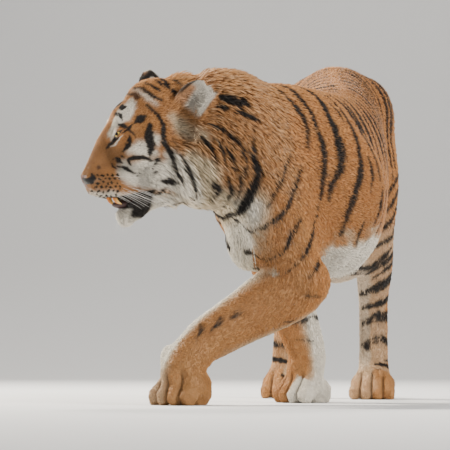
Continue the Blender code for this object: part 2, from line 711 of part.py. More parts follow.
def make_head(tiger, cutters):
    """The head with its mouth cut open, the lower jaw, and the eyes in their sockets."""
    skull = softened(clay_of(add_skull, add_muzzle, add_neck), tiger, 0.0045, 0.012, 10)
    jaw = softened(clay_of(add_jaw), tiger, 0.0045, 0.006, 5)
    ears = softened(clay_of(EAR_LEFT.add, EAR_RIGHT.add), tiger, 0.003, 0.0005, 2)
    whole = fused([skull, jaw, ears], "whole_head", HEAD_VOXEL, 5, HEAD_TRIANGLES)
    head = part_off(whole, "head", partial(region_by, HEAD_REGION), tiger, cutters)
    bpy.data.objects.remove(whole)
    cut(head, mouth_cutter("mouth", MOUTH, cutters))
    part_off(head, "lower_jaw", partial(jaw_by, JAW), tiger, cutters)
    for side, name in ((1, "left"), (-1, "right")):
        canine = add_canine(side, cutters)
        cut(head, canine, "UNION")
        place = HEAD.at(EYE_PLACE[0], EYE_PLACE[1] * side, EYE_PLACE[2])
        socket = add_ball("socket_" + name, place, EYE_RADIUS + SOCKET_GAP, cutters)
        cut(head, socket)
        add_ball("eye_" + name, place, EYE_RADIUS, tiger)


def region_by(region, name, collection, grow):
    """A region's cutter, with the region first, for part_off."""
    return region_cutter(name, region, collection, grow)


def jaw_by(rows, name, collection, grow):
    """The lower jaw's cutter, with its rows first, for part_off."""
    return mouth_cutter(name, rows, collection, grow)


def make_body(tiger, cutters):
    """Neck, trunk, legs and tail, parted from one body."""
    bulk = clay_of(add_trunk, add_neck, add_skull, add_shoulders, add_thighs)
    torso = softened(bulk, tiger, 0.010, 0.045, 22)
    limbs = softened(clay_of(add_forearms, add_shanks), tiger, 0.005, 0.003, 3)
    tail = softened(clay_of(add_tail), tiger, 0.008, 0.002, 4)
    trunk = fused([torso, limbs, tail], "trunk", BODY_VOXEL, 8, BODY_TRIANGLES)
    floor = region_cutter("floor", FLOOR_REGION, cutters)
    cut(trunk, floor)
    cut(trunk, region_cutter("head_gap", HEAD_REGION, cutters, CUT_WIDTH))
    tail = part_off(trunk, "tail_root", partial(region_by, TAIL_REGION), tiger, cutters)
    part_off(tail, "tail_tip", partial(region_by, TAIL_TIP_REGION), tiger, cutters)
    part_off(tail, "tail_middle", partial(region_by, TAIL_MIDDLE_REGION), tiger, cutters)
    part_off(trunk, "neck", partial(region_by, NECK_REGION), tiger, cutters)
    part_off(trunk, "foreleg_left", partial(region_by, FORE_LEFT_REGION), tiger, cutters)
    part_off(trunk, "foreleg_right", partial(region_by, FORE_RIGHT_REGION), tiger, cutters)
    part_off(trunk, "hindleg_left", partial(region_by, HIND_LEFT_REGION), tiger, cutters)
    part_off(trunk, "hindleg_right", partial(region_by, HIND_RIGHT_REGION), tiger, cutters)


def settle(*collections):
    """Moves everything so that the middle of the tiger's box, at its foot, is the origin."""
    corners = [Vector(corner) for thing in collections[0].objects for corner in thing.bound_box]
    across = (min(c.x for c in corners) + max(c.x for c in corners)) / 2
    along = (min(c.y for c in corners) + max(c.y for c in corners)) / 2
    shift = Matrix.Translation((-across, -along, 0))
    for collection in collections:
        for thing in collection.objects:
            thing.data.transform(shift)


def finish(thing):
    """The part's own material, and shading that keeps only the cut edges sharp."""
    if thing.name.startswith("eye"):
        made = material_of(thing.name, AMBER, 0.08)
    elif thing.name == "lower_jaw":
        made = material_of(thing.name, CREAM, 0.85)
    else:
        made = material_of(thing.name, COAT, 0.85)
    thing.data.materials.clear()
    thing.data.materials.append(made)
    thing.data.shade_smooth()
    thing.data.set_sharp_from_angle(angle=math.radians(45))


def main():
    """Builds the tiger's sub-parts in one collection and the cutters in another."""
    clear_scene()
    scene = bpy.context.scene
    tiger = bpy.data.collections.new("tiger")
    cutters = bpy.data.collections.new("cutters")
    scene.collection.children.link(tiger)
    scene.collection.children.link(cutters)
    make_head(tiger, cutters)
    make_body(tiger, cutters)
    settle(tiger, cutters)
    for thing in tiger.objects:
        finish(thing)


main()
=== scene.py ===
"""The looks of a life-size tiger model: one skin under a coat of solid tufts, with eyes, teeth and whiskers.

Everything is in metres in the row frame. The tiger walks along -Y, its left side is at +X, and the
floor is at z = 0.
"""

import logging
import math
from dataclasses import dataclass, field
from enum import Enum

import bmesh
import bpy
import numpy as np
from mathutils import Matrix, Vector
from mathutils.bvhtree import BVHTree


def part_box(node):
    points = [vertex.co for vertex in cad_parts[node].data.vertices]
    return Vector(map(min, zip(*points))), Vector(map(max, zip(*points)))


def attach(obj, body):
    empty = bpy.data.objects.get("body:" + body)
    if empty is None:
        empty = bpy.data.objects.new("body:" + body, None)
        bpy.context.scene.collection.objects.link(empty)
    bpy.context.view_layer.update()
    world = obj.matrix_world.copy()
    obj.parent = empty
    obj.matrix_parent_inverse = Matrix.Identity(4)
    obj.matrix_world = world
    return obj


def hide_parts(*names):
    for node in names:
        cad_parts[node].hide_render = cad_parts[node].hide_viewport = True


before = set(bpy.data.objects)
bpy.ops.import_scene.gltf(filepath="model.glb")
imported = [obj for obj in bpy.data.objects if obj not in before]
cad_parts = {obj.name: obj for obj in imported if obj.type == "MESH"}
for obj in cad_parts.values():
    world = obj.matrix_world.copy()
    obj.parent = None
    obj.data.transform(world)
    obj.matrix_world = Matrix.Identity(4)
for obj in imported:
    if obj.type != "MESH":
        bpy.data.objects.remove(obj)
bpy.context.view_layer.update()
log = logging.getLogger("tiger")

EYE_PLACE = (-0.109, 0.06, 0.125)
EYE_RADIUS = 0.0175


# ---------------------------------------------------------------- places on the body


def smooth_step(values: np.ndarray, low: float, high: float) -> np.ndarray:
    """Goes smoothly from 0 at low to 1 at high; low may be the larger."""
    share = np.clip((values - low) / (high - low), 0.0, 1.0)
    return share * share * (3.0 - 2.0 * share)


def unit(vectors: np.ndarray) -> np.ndarray:
    """The same vectors at length one, row by row."""
    return vectors / np.maximum(np.linalg.norm(vectors, axis=-1, keepdims=True), 1e-9)


class Stance:
    """A heading in plan at a place, in which points are given as forward, left and up."""

    def __init__(self, place: tuple[float, float, float], turn: float) -> None:
        """Sets the axes.

        Args:
            place: Where forward, left and up are zero.
            turn: Degrees to the tiger's right of -Y.
        """
        angle = math.radians(turn)
        self.place = np.array(place, float)
        self.axes = np.array(
            (
                (-math.sin(angle), -math.cos(angle), 0.0),
                (math.cos(angle), -math.sin(angle), 0.0),
                (0.0, 0.0, 1.0),
            )
        )

    def at(self, forward: float, left: float, up: float) -> np.ndarray:
        """The point that far forward, left and up."""
        return self.place + np.array((forward, left, up)) @ self.axes

    def read(self, points: np.ndarray) -> np.ndarray:
        """How far forward, left and up each point is."""
        return (points - self.place) @ self.axes.T

    def turned(self, forward: float, left: float, up: float) -> np.ndarray:
        """A direction in the row frame, of length one."""
        return unit(np.array((forward, left, up)) @ self.axes)


HEAD = Stance((-0.312, -0.374, 0.667), 53.0)
CHEST = Stance((0.116, 0.047, 0.0), 25.0)
PELVIS = Stance((0.036, 0.866, 0.0), -17.0)
SHIFT = np.array(sum(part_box("eye_left"), Vector())) / 2 - HEAD.at(*EYE_PLACE)
for stance in (HEAD, CHEST, PELVIS):
    stance.place += SHIFT


class Region(Enum):
    """The parts of the body, as the solids name them."""

    HEAD = "head"
    JAW = "lower_jaw"
    NECK = "neck"
    TRUNK = "trunk"
    FORE_LEFT = "foreleg_left"
    FORE_RIGHT = "foreleg_right"
    HIND_LEFT = "hindleg_left"
    HIND_RIGHT = "hindleg_right"
    TAIL_ROOT = "tail_root"
    TAIL_MIDDLE = "tail_middle"
    TAIL_TIP = "tail_tip"


REGIONS = list(Region)
LAST_OF_HEAD = REGIONS.index(Region.JAW)
LAST_OF_TRUNK = REGIONS.index(Region.TRUNK)
FIRST_OF_LIMBS = REGIONS.index(Region.FORE_LEFT)
FIRST_OF_TAIL = REGIONS.index(Region.TAIL_ROOT)


def is_in(regions: np.ndarray, *named: Region) -> np.ndarray:
    """Whether each index is that of one of the named regions."""
    return np.isin(regions, [REGIONS.index(region) for region in named])


class Line:
    """A smooth line through points, which tells how far along it and to which side a point lies."""

    def __init__(self, points: list[np.ndarray], start: float, steps: int = 24) -> None:
        """Samples the line.

        Args:
            points: What the line passes through, in order.
            start: The distance that is written at its first point.
            steps: How many samples each span gets.
        """
        samples = []
        count = len(points) - 1
        for k in range(steps * count + 1):
            t = k / steps
            i = min(int(t), count - 1)
            f = t - i
            a, b, c, d = (points[min(max(j, 0), count)] for j in range(i - 1, i + 3))
            square, cube = 2 * a - 5 * b + 4 * c - d, 3 * b - a - 3 * c + d
            samples.append(0.5 * (2 * b + (c - a) * f + square * f**2 + cube * f**3))
        self.samples = np.array(samples)
        self.runs = unit(np.gradient(self.samples, axis=0))
        spans = np.linalg.norm(np.diff(self.samples, axis=0), axis=1)
        self.reach = start + np.concatenate(([0.0], np.cumsum(spans)))

    def nearest(self, points: np.ndarray) -> np.ndarray:
        """The index of the nearest sample to each point.

        Args:
            points: Places to look from.

        Returns:
            One index for each place.
        """
        found = np.zeros(len(points), int)
        for low in range(0, len(points), 20000):
            block = points[low : low + 20000]
            found[low : low + 20000] = ((block[:, None, :] - self.samples[None]) ** 2).sum(2).argmin(1)
        return found


class Spine:
    """The line of the back in plan, from the skull to the rump, with the body's sections round it."""

    # behind the withers: half-width, middle height, half-height
    SECTIONS = np.array(
        (
            (-0.42, 0.115, 0.77, 0.18),
            (-0.3, 0.14, 0.78, 0.206),
            (-0.2, 0.155, 0.77, 0.215),
            (-0.05, 0.165, 0.715, 0.245),
            (0.06, 0.168, 0.682, 0.288),
            (0.18, 0.18, 0.675, 0.287),
            (0.44, 0.194, 0.674, 0.292),
            (0.67, 0.17, 0.723, 0.303),
            (0.86, 0.156, 0.826, 0.236),
            (1.03, 0.11, 0.845, 0.145),
        )
    )

    def __init__(self) -> None:
        """Lays the line through the head, the chest and the pelvis."""
        places = [
            HEAD.at(-0.285, 0.0, 0.0),
            HEAD.at(-0.365, 0.012, 0.0),
            HEAD.at(-0.44, 0.045, 0.0),
            CHEST.at(0.06, -0.01, 0.0),
            CHEST.at(-0.06, 0.0, 0.0),
            CHEST.at(-0.19, 0.0, 0.0),
            (CHEST.at(-0.42, 0.0, 0.0) + PELVIS.at(0.42, 0.0, 0.0)) / 2,
            PELVIS.at(0.19, 0.0, 0.0),
            PELVIS.at(0.0, 0.0, 0.0),
            PELVIS.at(-0.25, 0.0, 0.0),
        ]
        for place in places:
            place[2] = 0.0
        self.line = Line(places, 0.0)
        withers = self.line.nearest(np.array([CHEST.at(0.0, 0.0, 0.0)]) * (1, 1, 0))[0]
        self.line.reach -= self.line.reach[withers]

    def read(self, points: np.ndarray) -> tuple[np.ndarray, np.ndarray, np.ndarray]:
        """Where points are on the barrel of the body.

        Args:
            points: Places in the row frame.

        Returns:
            How far behind the withers, the angle round the body in degrees from the middle of the back,
            positive on the left, and the heading of the spine there.
        """
        flat = points * (1.0, 1.0, 0.0)
        found = self.line.nearest(flat)
        run = self.line.runs[found]
        offset = flat - self.line.samples[found]
        along = self.line.reach[found] + (offset * run).sum(1)
        left = np.stack((run[:, 1], -run[:, 0]), 1) * -1.0
        aside = -(offset[:, :2] * left).sum(1)
        half, middle, height = (np.interp(along, self.SECTIONS[:, 0], self.SECTIONS[:, k]) for k in (1, 2, 3))
        angle = np.degrees(np.arctan2(aside / half, (points[:, 2] - middle) / height))
        return along, angle, -run


class Limb:
    """A leg or the tail: its line of joints, and where points lie along it and round it."""

    def __init__(self, joints: list[np.ndarray], outward: np.ndarray, ahead: np.ndarray) -> None:
        """Keeps the line and the directions that angles are read from.

        Args:
            joints: From the body outward.
            outward: The direction of angle zero.
            ahead: The direction of angle ninety.
        """
        self.line = Line(joints, 0.0)
        self.outward = outward
        self.ahead = ahead

    def read(self, points: np.ndarray) -> tuple[np.ndarray, np.ndarray, np.ndarray]:
        """Where points are on the limb.

        Args:
            points: Places in the row frame.

        Returns:
            The distance along, the angle in degrees from outward towards ahead, and the limb's run there.
        """
        found = self.line.nearest(points)
        run = self.line.runs[found]
        offset = points - self.line.samples[found]
        along = self.line.reach[found] + (offset * run).sum(1)
        offset = offset - run * (offset * run).sum(1, keepdims=True)
        angle = np.degrees(np.arctan2(offset @ self.ahead, offset @ self.outward))
        return along, angle, run


SPINE = Spine()
LIMBS = {
    Region.FORE_LEFT: Limb(
        [
            CHEST.at(0.165, 0.145, 0.61),
            CHEST.at(-0.005, 0.15, 0.365),
            CHEST.at(0.245, -0.021, 0.186),
            CHEST.at(0.29, -0.045, 0.08),
            CHEST.at(0.35, -0.04, 0.03),
        ],
        CHEST.axes[1],
        CHEST.turned(0.6, 0.0, 0.8),
    ),
    Region.FORE_RIGHT: Limb(
        [
            CHEST.at(0.03, -0.125, 0.63),
            CHEST.at(-0.16, -0.13, 0.44),
            CHEST.at(-0.255, -0.085, 0.15),
            CHEST.at(-0.24, -0.088, 0.05),
            CHEST.at(-0.18, -0.09, 0.025),
        ],
        -CHEST.axes[1],
        CHEST.axes[0],
    ),
    Region.HIND_LEFT: Limb(
        [
            PELVIS.at(-0.1, 0.11, 0.85),
            PELVIS.at(0.04, 0.126, 0.56),
            PELVIS.at(-0.13, 0.112, 0.32),
            PELVIS.at(-0.105, 0.115, 0.07),
            PELVIS.at(-0.02, 0.115, 0.03),
        ],
        PELVIS.axes[1],
        PELVIS.axes[0],
    ),
    Region.HIND_RIGHT: Limb(
        [
            PELVIS.at(-0.1, -0.11, 0.85),
            PELVIS.at(0.0, -0.14, 0.54),
            PELVIS.at(-0.245, -0.168, 0.325),
            PELVIS.at(-0.29, -0.185, 0.07),
            PELVIS.at(-0.205, -0.185, 0.03),
        ],
        -PELVIS.axes[1],
        PELVIS.axes[0],
    ),
}
TAIL = Limb(
    [
        PELVIS.at(-0.215, 0.0, 0.925),
        PELVIS.at(-0.3, 0.015, 0.82),
        PELVIS.at(-0.35, 0.045, 0.66),
        PELVIS.at(-0.4, 0.075, 0.48),
        PELVIS.at(-0.48, 0.09, 0.32),
        PELVIS.at(-0.6, 0.09, 0.255),
        PELVIS.at(-0.715, 0.085, 0.31),
        PELVIS.at(-0.765, 0.08, 0.395),
    ],
    PELVIS.axes[1],
    PELVIS.axes[0],
)


# ---------------------------------------------------------------- meshes


def coordinates_of(mesh: bpy.types.Mesh) -> np.ndarray:
    """The places of a mesh's vertices."""
    places = np.empty(len(mesh.vertices) * 3, np.float32)
    mesh.vertices.foreach_get("co", places)
    return places.reshape(-1, 3).astype(float)


def normals_of(mesh: bpy.types.Mesh) -> np.ndarray:
    """The normals at a mesh's vertices."""
    normals = np.empty(len(mesh.vertices) * 3, np.float32)
    mesh.vertex_normals.foreach_get("vector", normals)
    return normals.reshape(-1, 3).astype(float)


def move_to(mesh: bpy.types.Mesh, places: np.ndarray) -> None:
    """Puts a mesh's vertices at new places."""
    mesh.vertices.foreach_set("co", places.astype(np.float32).ravel())
    mesh.update()


def edges_of(mesh: bpy.types.Mesh) -> np.ndarray:
    """The vertex pairs of a mesh's edges."""
    pairs = np.empty(len(mesh.edges) * 2, np.int32)
    mesh.edges.foreach_get("vertices", pairs)
    return pairs.reshape(-1, 2)


def spread(values: np.ndarray, pairs: np.ndarray, rounds: int) -> np.ndarray:
    """Values averaged with their neighbours' along the edges, several times over.

    Args:
        values: One row for each vertex.
        pairs: The vertex pairs of the edges.
        rounds: How many times.

    Returns:
        The smoothed values.
    """
    count = len(values)
    rows = values.reshape(count, -1).copy()
    degree = np.bincount(pairs.ravel(), minlength=count)[:, None] + 1e-9
    for _ in range(rounds):
        total = np.empty_like(rows)
        for column in range(rows.shape[1]):
            one = np.bincount(pairs[:, 0], rows[pairs[:, 1], column], count)
            total[:, column] = one + np.bincount(pairs[:, 1], rows[pairs[:, 0], column], count)
        rows = 0.5 * rows + 0.5 * total / degree
    return rows.reshape(values.shape)


def put_attribute(mesh: bpy.types.Mesh, name: str, values: np.ndarray) -> None:
    """Keeps values on a mesh's vertices: one number, a vector, or a colour of four.

    Args:
        mesh: The mesh.
        name: The attribute's name.
        values: A row for each vertex.
    """
    width = 1 if values.ndim == 1 else values.shape[1]
    kind, key = {1: ("FLOAT", "value"), 3: ("FLOAT_VECTOR", "vector"), 4: ("FLOAT_COLOR", "color")}[width]
    kept = mesh.attributes.get(name) or mesh.attributes.new(name, kind, "POINT")
    kept.data.foreach_set(key, values.astype(np.float32).ravel())


def baked(thing: bpy.types.Object) -> bpy.types.Mesh:
    """The object's mesh with its modifiers applied and then taken off.

    Args:
        thing: The object, which keeps the result.

    Returns:
        The new mesh.
    """
    graph = bpy.context.evaluated_depsgraph_get()
    mesh = bpy.data.meshes.new_from_object(thing.evaluated_get(graph))
    thing.modifiers.clear()
    thing.data = mesh
    return mesh


def put_in_scene(name: str, mesh: bpy.types.Mesh) -> bpy.types.Object:
    """A new object at the origin with this mesh."""
    thing = bpy.data.objects.new(name, mesh)
    bpy.context.scene.collection.objects.link(thing)
    return thing


def hashed(points: np.ndarray, scale: float, seed: int) -> np.ndarray:
    """A soft random value from -1 to 1 at each point, from waves of three directions at that scale.

    Args:
        points: Places.
        scale: The size of its patches.
        seed: Which waves it takes.

    Returns:
        One value for each place.
    """
    rng = np.random.default_rng(seed)
    total = np.zeros(len(points))
    for octave in range(7):
        direction = unit(rng.normal(size=3)) * (2 * math.pi / scale) * (0.7 + 0.35 * octave)
        phase = points @ direction + rng.uniform(0, 6.28)
        total += np.sin(phase + 1.7 * np.sin(points @ direction[::-1] * 0.6))
    return np.clip(total / 3.6, -1, 1)


# ---------------------------------------------------------------- the coat


@dataclass(frozen=True)
class Paw:
    """A paw on the floor: where it stands, and the clefts between its toes."""

    stance: Stance
    size: float

    def cleft(self, places: np.ndarray) -> np.ndarray:
        """How near each place is to the middle of a cleft between two toes, from 0 to 1.

        Args:
            places: Places in the row frame.

        Returns:
            One share for each place.
        """
        local = self.stance.read(places) / self.size
        ahead, aside, up = local.T
        spread_out = 1 + 2.2 * np.clip(ahead - 0.045, 0, 0.05)
        near = np.zeros(len(places))
        for middle in (-0.035, 0.0, 0.035):
            near = np.maximum(near, np.exp(-(((aside - middle * spread_out) / 0.0046) ** 2)))
        front = smooth_step(ahead + 0.35 * up, 0.04, 0.062) * smooth_step(up, 0.098, 0.066)
        return near * front * (np.abs(aside) < 0.09) * (ahead < 0.14)


PAWS = {
    Region.FORE_LEFT: Paw(Stance(tuple(np.array((-0.043, -0.192, 0.0)) + SHIFT), 17.0), 1.12),
    Region.FORE_RIGHT: Paw(Stance(tuple(CHEST.at(-0.262, -0.09, 0.0)), 27.0), 1.05),
    Region.HIND_LEFT: Paw(Stance(tuple(PELVIS.at(-0.085, 0.115, 0.0)), -15.0), 1.0),
    Region.HIND_RIGHT: Paw(Stance(tuple(PELVIS.at(-0.27, -0.185, 0.0)), -15.0), 1.0),
}


@dataclass
class Coat:
    """The hair: how long it is and which way it lies, everywhere on the body."""

    rise: float = 0.33
    ear_roots: tuple = ((-0.285, 0.1, 0.19), (-0.238, -0.082, 0.236))
    ear_rises: tuple = ((-0.5, 0.28, 0.82), (-0.02, -0.28, 1.0))
    ear_openings: tuple = ((0.3, 0.94, -0.05), (0.35, -0.95, 0.0))

    def ear(self, which: int, places: np.ndarray) -> tuple[np.ndarray, np.ndarray, np.ndarray]:
        """Places as one ear sees them.

        Args:
            which: 0 for the left ear, 1 for the right one.
            places: Places in the row frame.

        Returns:
            Heights above its root, distances behind its middle line, and how far in front of its cupped wall.
        """
        rise = HEAD.turned(*self.ear_rises[which])
        opening = HEAD.turned(*self.ear_openings[which])
        opening = unit(opening - rise * (opening @ rise))
        across = np.cross(rise, opening)
        across *= -np.sign(across @ HEAD.turned(1.0, 0.0, 0.0))
        offset = places - HEAD.at(*self.ear_roots[which])
        height, behind, depth = offset @ rise, offset @ across, offset @ opening
        cup = 0.036 * (1 - 0.85 * np.clip(height / 0.11, 0, 1))
        wall = -cup * np.sqrt(np.clip(1 - (behind / 0.042) ** 2, 0, 1)) + 0.003
        return height, behind, depth - wall

    def ear_shares(self, places: np.ndarray) -> np.ndarray:
        """1 on each ear and 0 off it, with a soft edge at its root, one row for each ear.

        Args:
            places: Places in the row frame.

        Returns:
            Two rows, with a share for each place.
        """
        rows = []
        for which in (0, 1):
            height, behind, front = self.ear(which, places)
            share = smooth_step(height, 0.012, 0.034) * smooth_step(np.abs(behind), 0.058, 0.05)
            share = share * smooth_step(height, 0.15, 0.14) * smooth_step(front, -0.018, -0.012)
            rows.append(share * smooth_step(front, 0.04, 0.034))
        return np.array(rows)

    def ear_share(self, places: np.ndarray) -> np.ndarray:
        """1 on the ears and 0 off them."""
        return self.ear_shares(places).max(0)

    def ear_fluff(self, places: np.ndarray) -> np.ndarray:
        """1 where long hair hangs in the ears' openings.

        Args:
            places: Places in the row frame.

        Returns:
            One share for each place.
        """
        fluff = np.zeros(len(places))
        for which, share in enumerate(self.ear_shares(places)):
            height, behind, front = self.ear(which, places)
            inside = smooth_step(front, 0.001, 0.004) * smooth_step(height, 0.095, 0.06)
            fluff = np.maximum(fluff, share * inside * smooth_step(np.abs(behind), 0.04, 0.03))
        return fluff

    def length(self, places: np.ndarray, regions: np.ndarray) -> np.ndarray:
        """How long the hair is at each place.

        Args:
            places: Places in the row frame.
            regions: The index of each place's region.

        Returns:
            Lengths in metres.
        """
        head = HEAD.read(places)
        back, out, up = -head[:, 0], np.abs(head[:, 1]), head[:, 2]
        along, angle, _ = SPINE.read(places)
        z = places[:, 2]
        stops = (0.0, 0.06, 0.12, 0.17, 0.22, 0.3, 0.36)
        face = np.interp(back, stops, (0.005, 0.006, 0.009, 0.013, 0.02, 0.032, 0.036))
        ruff = smooth_step(back, 0.17, 0.27) * smooth_step(out, 0.055, 0.09) * smooth_step(up, 0.17, 0.1)
        face = face + 0.01 * ruff
        chin = smooth_step(up, -0.055, -0.085) * smooth_step(back, 0.2, 0.15)
        face = face * (1 - chin) + 0.018 * chin
        ears = self.ear_share(places)
        face = face * (1 - ears) + (0.0055 + 0.0165 * self.ear_fluff(places)) * ears
        body = np.interp(along, (-0.3, -0.05, 0.15, 0.6, 1.0), (0.036, 0.03, 0.021, 0.019, 0.022))
        body = body * (1 - 0.25 * smooth_step(along, 0.0, -0.1) * smooth_step(np.abs(angle), 110, 140))
        body += 0.006 * smooth_step(np.abs(angle), 120, 150) * smooth_step(along, -0.05, 0.1)
        leg = np.interp(z, (0.0, 0.06, 0.15, 0.3, 0.5, 0.7), (0.006, 0.008, 0.01, 0.013, 0.018, 0.021))
        length = np.where(regions >= FIRST_OF_LIMBS, leg, body)
        length = np.where(regions >= FIRST_OF_TAIL, 0.017, length)
        return np.where(regions <= LAST_OF_HEAD, face, length)

    def depth(self, places: np.ndarray, regions: np.ndarray) -> np.ndarray:
        """How deep the coat is, from its outside to the skin.

        Args:
            places: Places in the row frame.
            regions: The index of each place's region.

        Returns:
            Depths in metres.
        """
        thin = self.ear_share(places)
        length = self.length(places, regions)
        flat = 0.72 + 0.28 * smooth_step(length, 0.022, 0.034)
        return length * self.rise * flat * (1 - 0.2 * thin) * (1 - 0.7 * self.ear_fluff(places))

    def lie(self, places: np.ndarray, regions: np.ndarray) -> np.ndarray:
        """The way that the hair lies at each place, before it is laid on the surface.

        Args:
            places: Places in the row frame.
            regions: The index of each place's region.

        Returns:
            Directions, one row for each place.
        """
        head = HEAD.read(places)
        back, up = -head[:, 0], head[:, 2]
        away = unit(head - np.array((-0.004, 0.0, 0.012)))
        sag = smooth_step(back, 0.1, 0.28) * smooth_step(up, 0.2, 0.08)
        away[:, 2] -= 0.75 * sag + 0.9 * smooth_step(back, 0.17, 0.26) * smooth_step(up, 0.17, 0.08)
        away[:, 0] -= 0.55 * smooth_step(back, 0.05, 0.2)
        lie = away @ HEAD.axes
        along, angle, heading = SPINE.read(places)
        flank = smooth_step(np.abs(angle), 10, 60) * smooth_step(np.abs(angle), 165, 120)
        drop = 0.25 + 0.85 * smooth_step(along, 0.08, -0.16)
        body = -heading + np.array((0, 0, -1.0)) * drop[:, None] * flank[:, None]
        breast = smooth_step(along, 0.02, -0.06) * smooth_step(places[:, 2], 0.66, 0.56)
        body += np.outer(breast, (0, 0, -2.2))
        is_body = is_in(regions, Region.NECK, Region.TRUNK)
        toward = np.maximum(smooth_step(back, 0.26, 0.42), is_body * smooth_step(back, 0.3, 0.42))[:, None]
        lie = unit(lie) * (1 - toward) + unit(body) * toward
        for region, limb in LIMBS.items():
            own = is_in(regions, region)
            run = limb.read(places[own])[2]
            high = smooth_step(places[own][:, 2], 0.35, 0.6)[:, None]
            lie[own] = run * (1 - 0.5 * high) + body[own] * 0.6 * high
        tail = regions >= FIRST_OF_TAIL
        lie[tail] = TAIL.read(places[tail])[2]
        for which, share in enumerate(self.ear_shares(places)):
            fluff = (share * self.ear_fluff(places))[:, None]
            rise = HEAD.turned(*self.ear_rises[which]) * (1 - fluff)
            rise += HEAD.turned(-0.75, 0.35 - 0.7 * which, -0.55) * fluff
            lie = lie * (1 - share[:, None]) + rise * share[:, None]
        return unit(lie)


COAT = Coat()


# ---------------------------------------------------------------- the markings


class Tint(Enum):
    """The colours of the hair and of the bare skin, as linear red, green and blue."""

    ORANGE = (0.5, 0.225, 0.075)
    GOLD = (0.6, 0.34, 0.13)
    TAN = (0.34, 0.165, 0.062)
    CREAM = (0.7, 0.59, 0.42)
    WHITE = (0.8, 0.755, 0.66)
    GREY = (0.36, 0.33, 0.29)
    BROWN = (0.11, 0.052, 0.026)
    BLACK = (0.016, 0.013, 0.012)
    LEATHER = (0.15, 0.062, 0.048)

    @property
    def colour(self) -> np.ndarray:
        """The colour as an array."""
        return np.array(self.value)


def mixed(first: np.ndarray, second: np.ndarray, share: np.ndarray) -> np.ndarray:
    """The first colours, gone over to the second ones by each place's share."""
    return first + (second - first) * share[:, None]


@dataclass(frozen=True)
class Mark:
    """A mark drawn along points of a chart.

    Its width is given in metres at the middle; the ends taper to a share of it. A single point makes a spot.
    It fades out nearer to the middle of the body than `aside`.
    """

    points: tuple
    width: float
    tint: Tint = Tint.BLACK
    ends: tuple = (0.45, 0.35)
    soft: float = 0.0025
    strength: float = 1.0
    aside: float = 0.0

    def cover(self, chart: np.ndarray, stretch: float) -> tuple[np.ndarray, np.ndarray]:
        """Which places the mark reaches and how fully.

        Args:
            chart: Places on the chart, one row each.
            stretch: Metres for one unit of the chart's first column.

        Returns:
            The indices of the places reached, and the share of the mark's tint at each.
        """
        scale = np.array((stretch, 1.0))
        line = np.array(self.points, float) * scale
        margin = self.width / 2 + self.soft * 2
        low, high = line.min(0) - margin, line.max(0) + margin
        flat = chart * scale
        near = np.nonzero(((flat > low) & (flat < high)).all(1))[0]
        if not len(near):
            return near, np.zeros(0)
        here = flat[near]
        if len(line) == 1:
            gap = np.linalg.norm(here - line[0], axis=1) - self.width / 2
            return near, self.strength * smooth_step(gap, self.soft, -self.soft)
        gap = np.full(len(near), 1.0)
        spans = np.linalg.norm(np.diff(line, axis=0), axis=1)
        reach = np.concatenate(([0.0], np.cumsum(spans))) / spans.sum()
        for k in range(len(spans)):
            run = line[k + 1] - line[k]
            t = np.clip(((here - line[k]) @ run) / max(run @ run, 1e-12), 0, 1)
            away = np.linalg.norm(here - line[k] - t[:, None] * run, axis=1)
            share = reach[k] + t * (reach[k + 1] - reach[k])
            swell = np.interp(share, (0.0, 0.3, 0.65, 1.0), (self.ends[0], 1.0, 0.95, self.ends[1]))
            gap = np.minimum(gap, away - self.width / 2 * swell)
        return near, self.strength * smooth_step(gap, self.soft, -self.soft)


def marks(
    tint: Tint,
    *rows: tuple,
    soft: float = 0.0025,
    ends: tuple = (0.45, 0.35),
    aside: float = 0.0,
) -> list[Mark]:
    """Marks of one tint, each row a width followed by its points."""
    return [Mark(tuple(row[1:]), row[0], tint, ends, soft, aside=aside) for row in rows]


BROW_PALE = marks(
    Tint.WHITE,
    (0.04, (0.098, 0.16), (0.12, 0.182), (0.14, 0.208), (0.15, 0.228)),
    (0.02, (0.094, 0.166), (0.086, 0.142), (0.086, 0.114)),
    soft=0.007,
    aside=0.034,
)
FACE_PALE = marks(
    Tint.WHITE,
    (0.05, (0.134, 0.08), (0.165, 0.084), (0.2, 0.072)),
    (0.09, (0.128, 0.014), (0.155, 0.014), (0.19, 0.012), (0.235, 0.0), (0.262, -0.03)),
    (0.022, (0.02, -0.044), (0.06, -0.052), (0.11, -0.05)),
    (0.075, (0.244, 0.066), (0.27, 0.02), (0.3, -0.03), (0.345, -0.065)),
    (0.04, (0.118, 0.045), (0.124, 0.01), (0.15, -0.02)),
    (0.024, (0.006, -0.03), (0.016, -0.046)),
    (0.011, (0.165, 0.258), (0.19, 0.238), (0.213, 0.216)),
    (0.026, (0.208, 0.1), (0.198, 0.126)),
    soft=0.013,
)
# pale fluff below the ear: its own colour, also laid to lift the shade in the hollow under the ear, so partly
# painted light
EAR_PALE = marks(
    Tint.CREAM,
    (0.04, (0.262, 0.18), (0.286, 0.15), (0.312, 0.116)),
    (0.02, (0.325, 0.14), (0.345, 0.11)),
    soft=0.022,
    aside=0.05,
)
EYE_LINE = marks(
    Tint.WHITE,
    (0.0045, (0.083, 0.089), (0.094, 0.097), (0.1, 0.106), (0.108, 0.117), (0.116, 0.123)),
    soft=0.0012,
    aside=0.03,
)
FACE_CREAM = marks(
    Tint.CREAM,
    (0.11, (0.31, -0.06), (0.38, -0.085), (0.45, -0.12)),
    (0.1, (0.305, 0.055), (0.335, 0.0), (0.365, -0.05)),
    soft=0.02,
)
FACE_TAN = marks(
    Tint.TAN,
    (0.07, (0.004, 0.01), (0.045, 0.05), (0.085, 0.095)),
    (0.03, (0.06, 0.03), (0.095, 0.06), (0.105, 0.09)),
    (0.04, (0.03, -0.01), (0.06, -0.012), (0.092, -0.006)),
    soft=0.01,
)
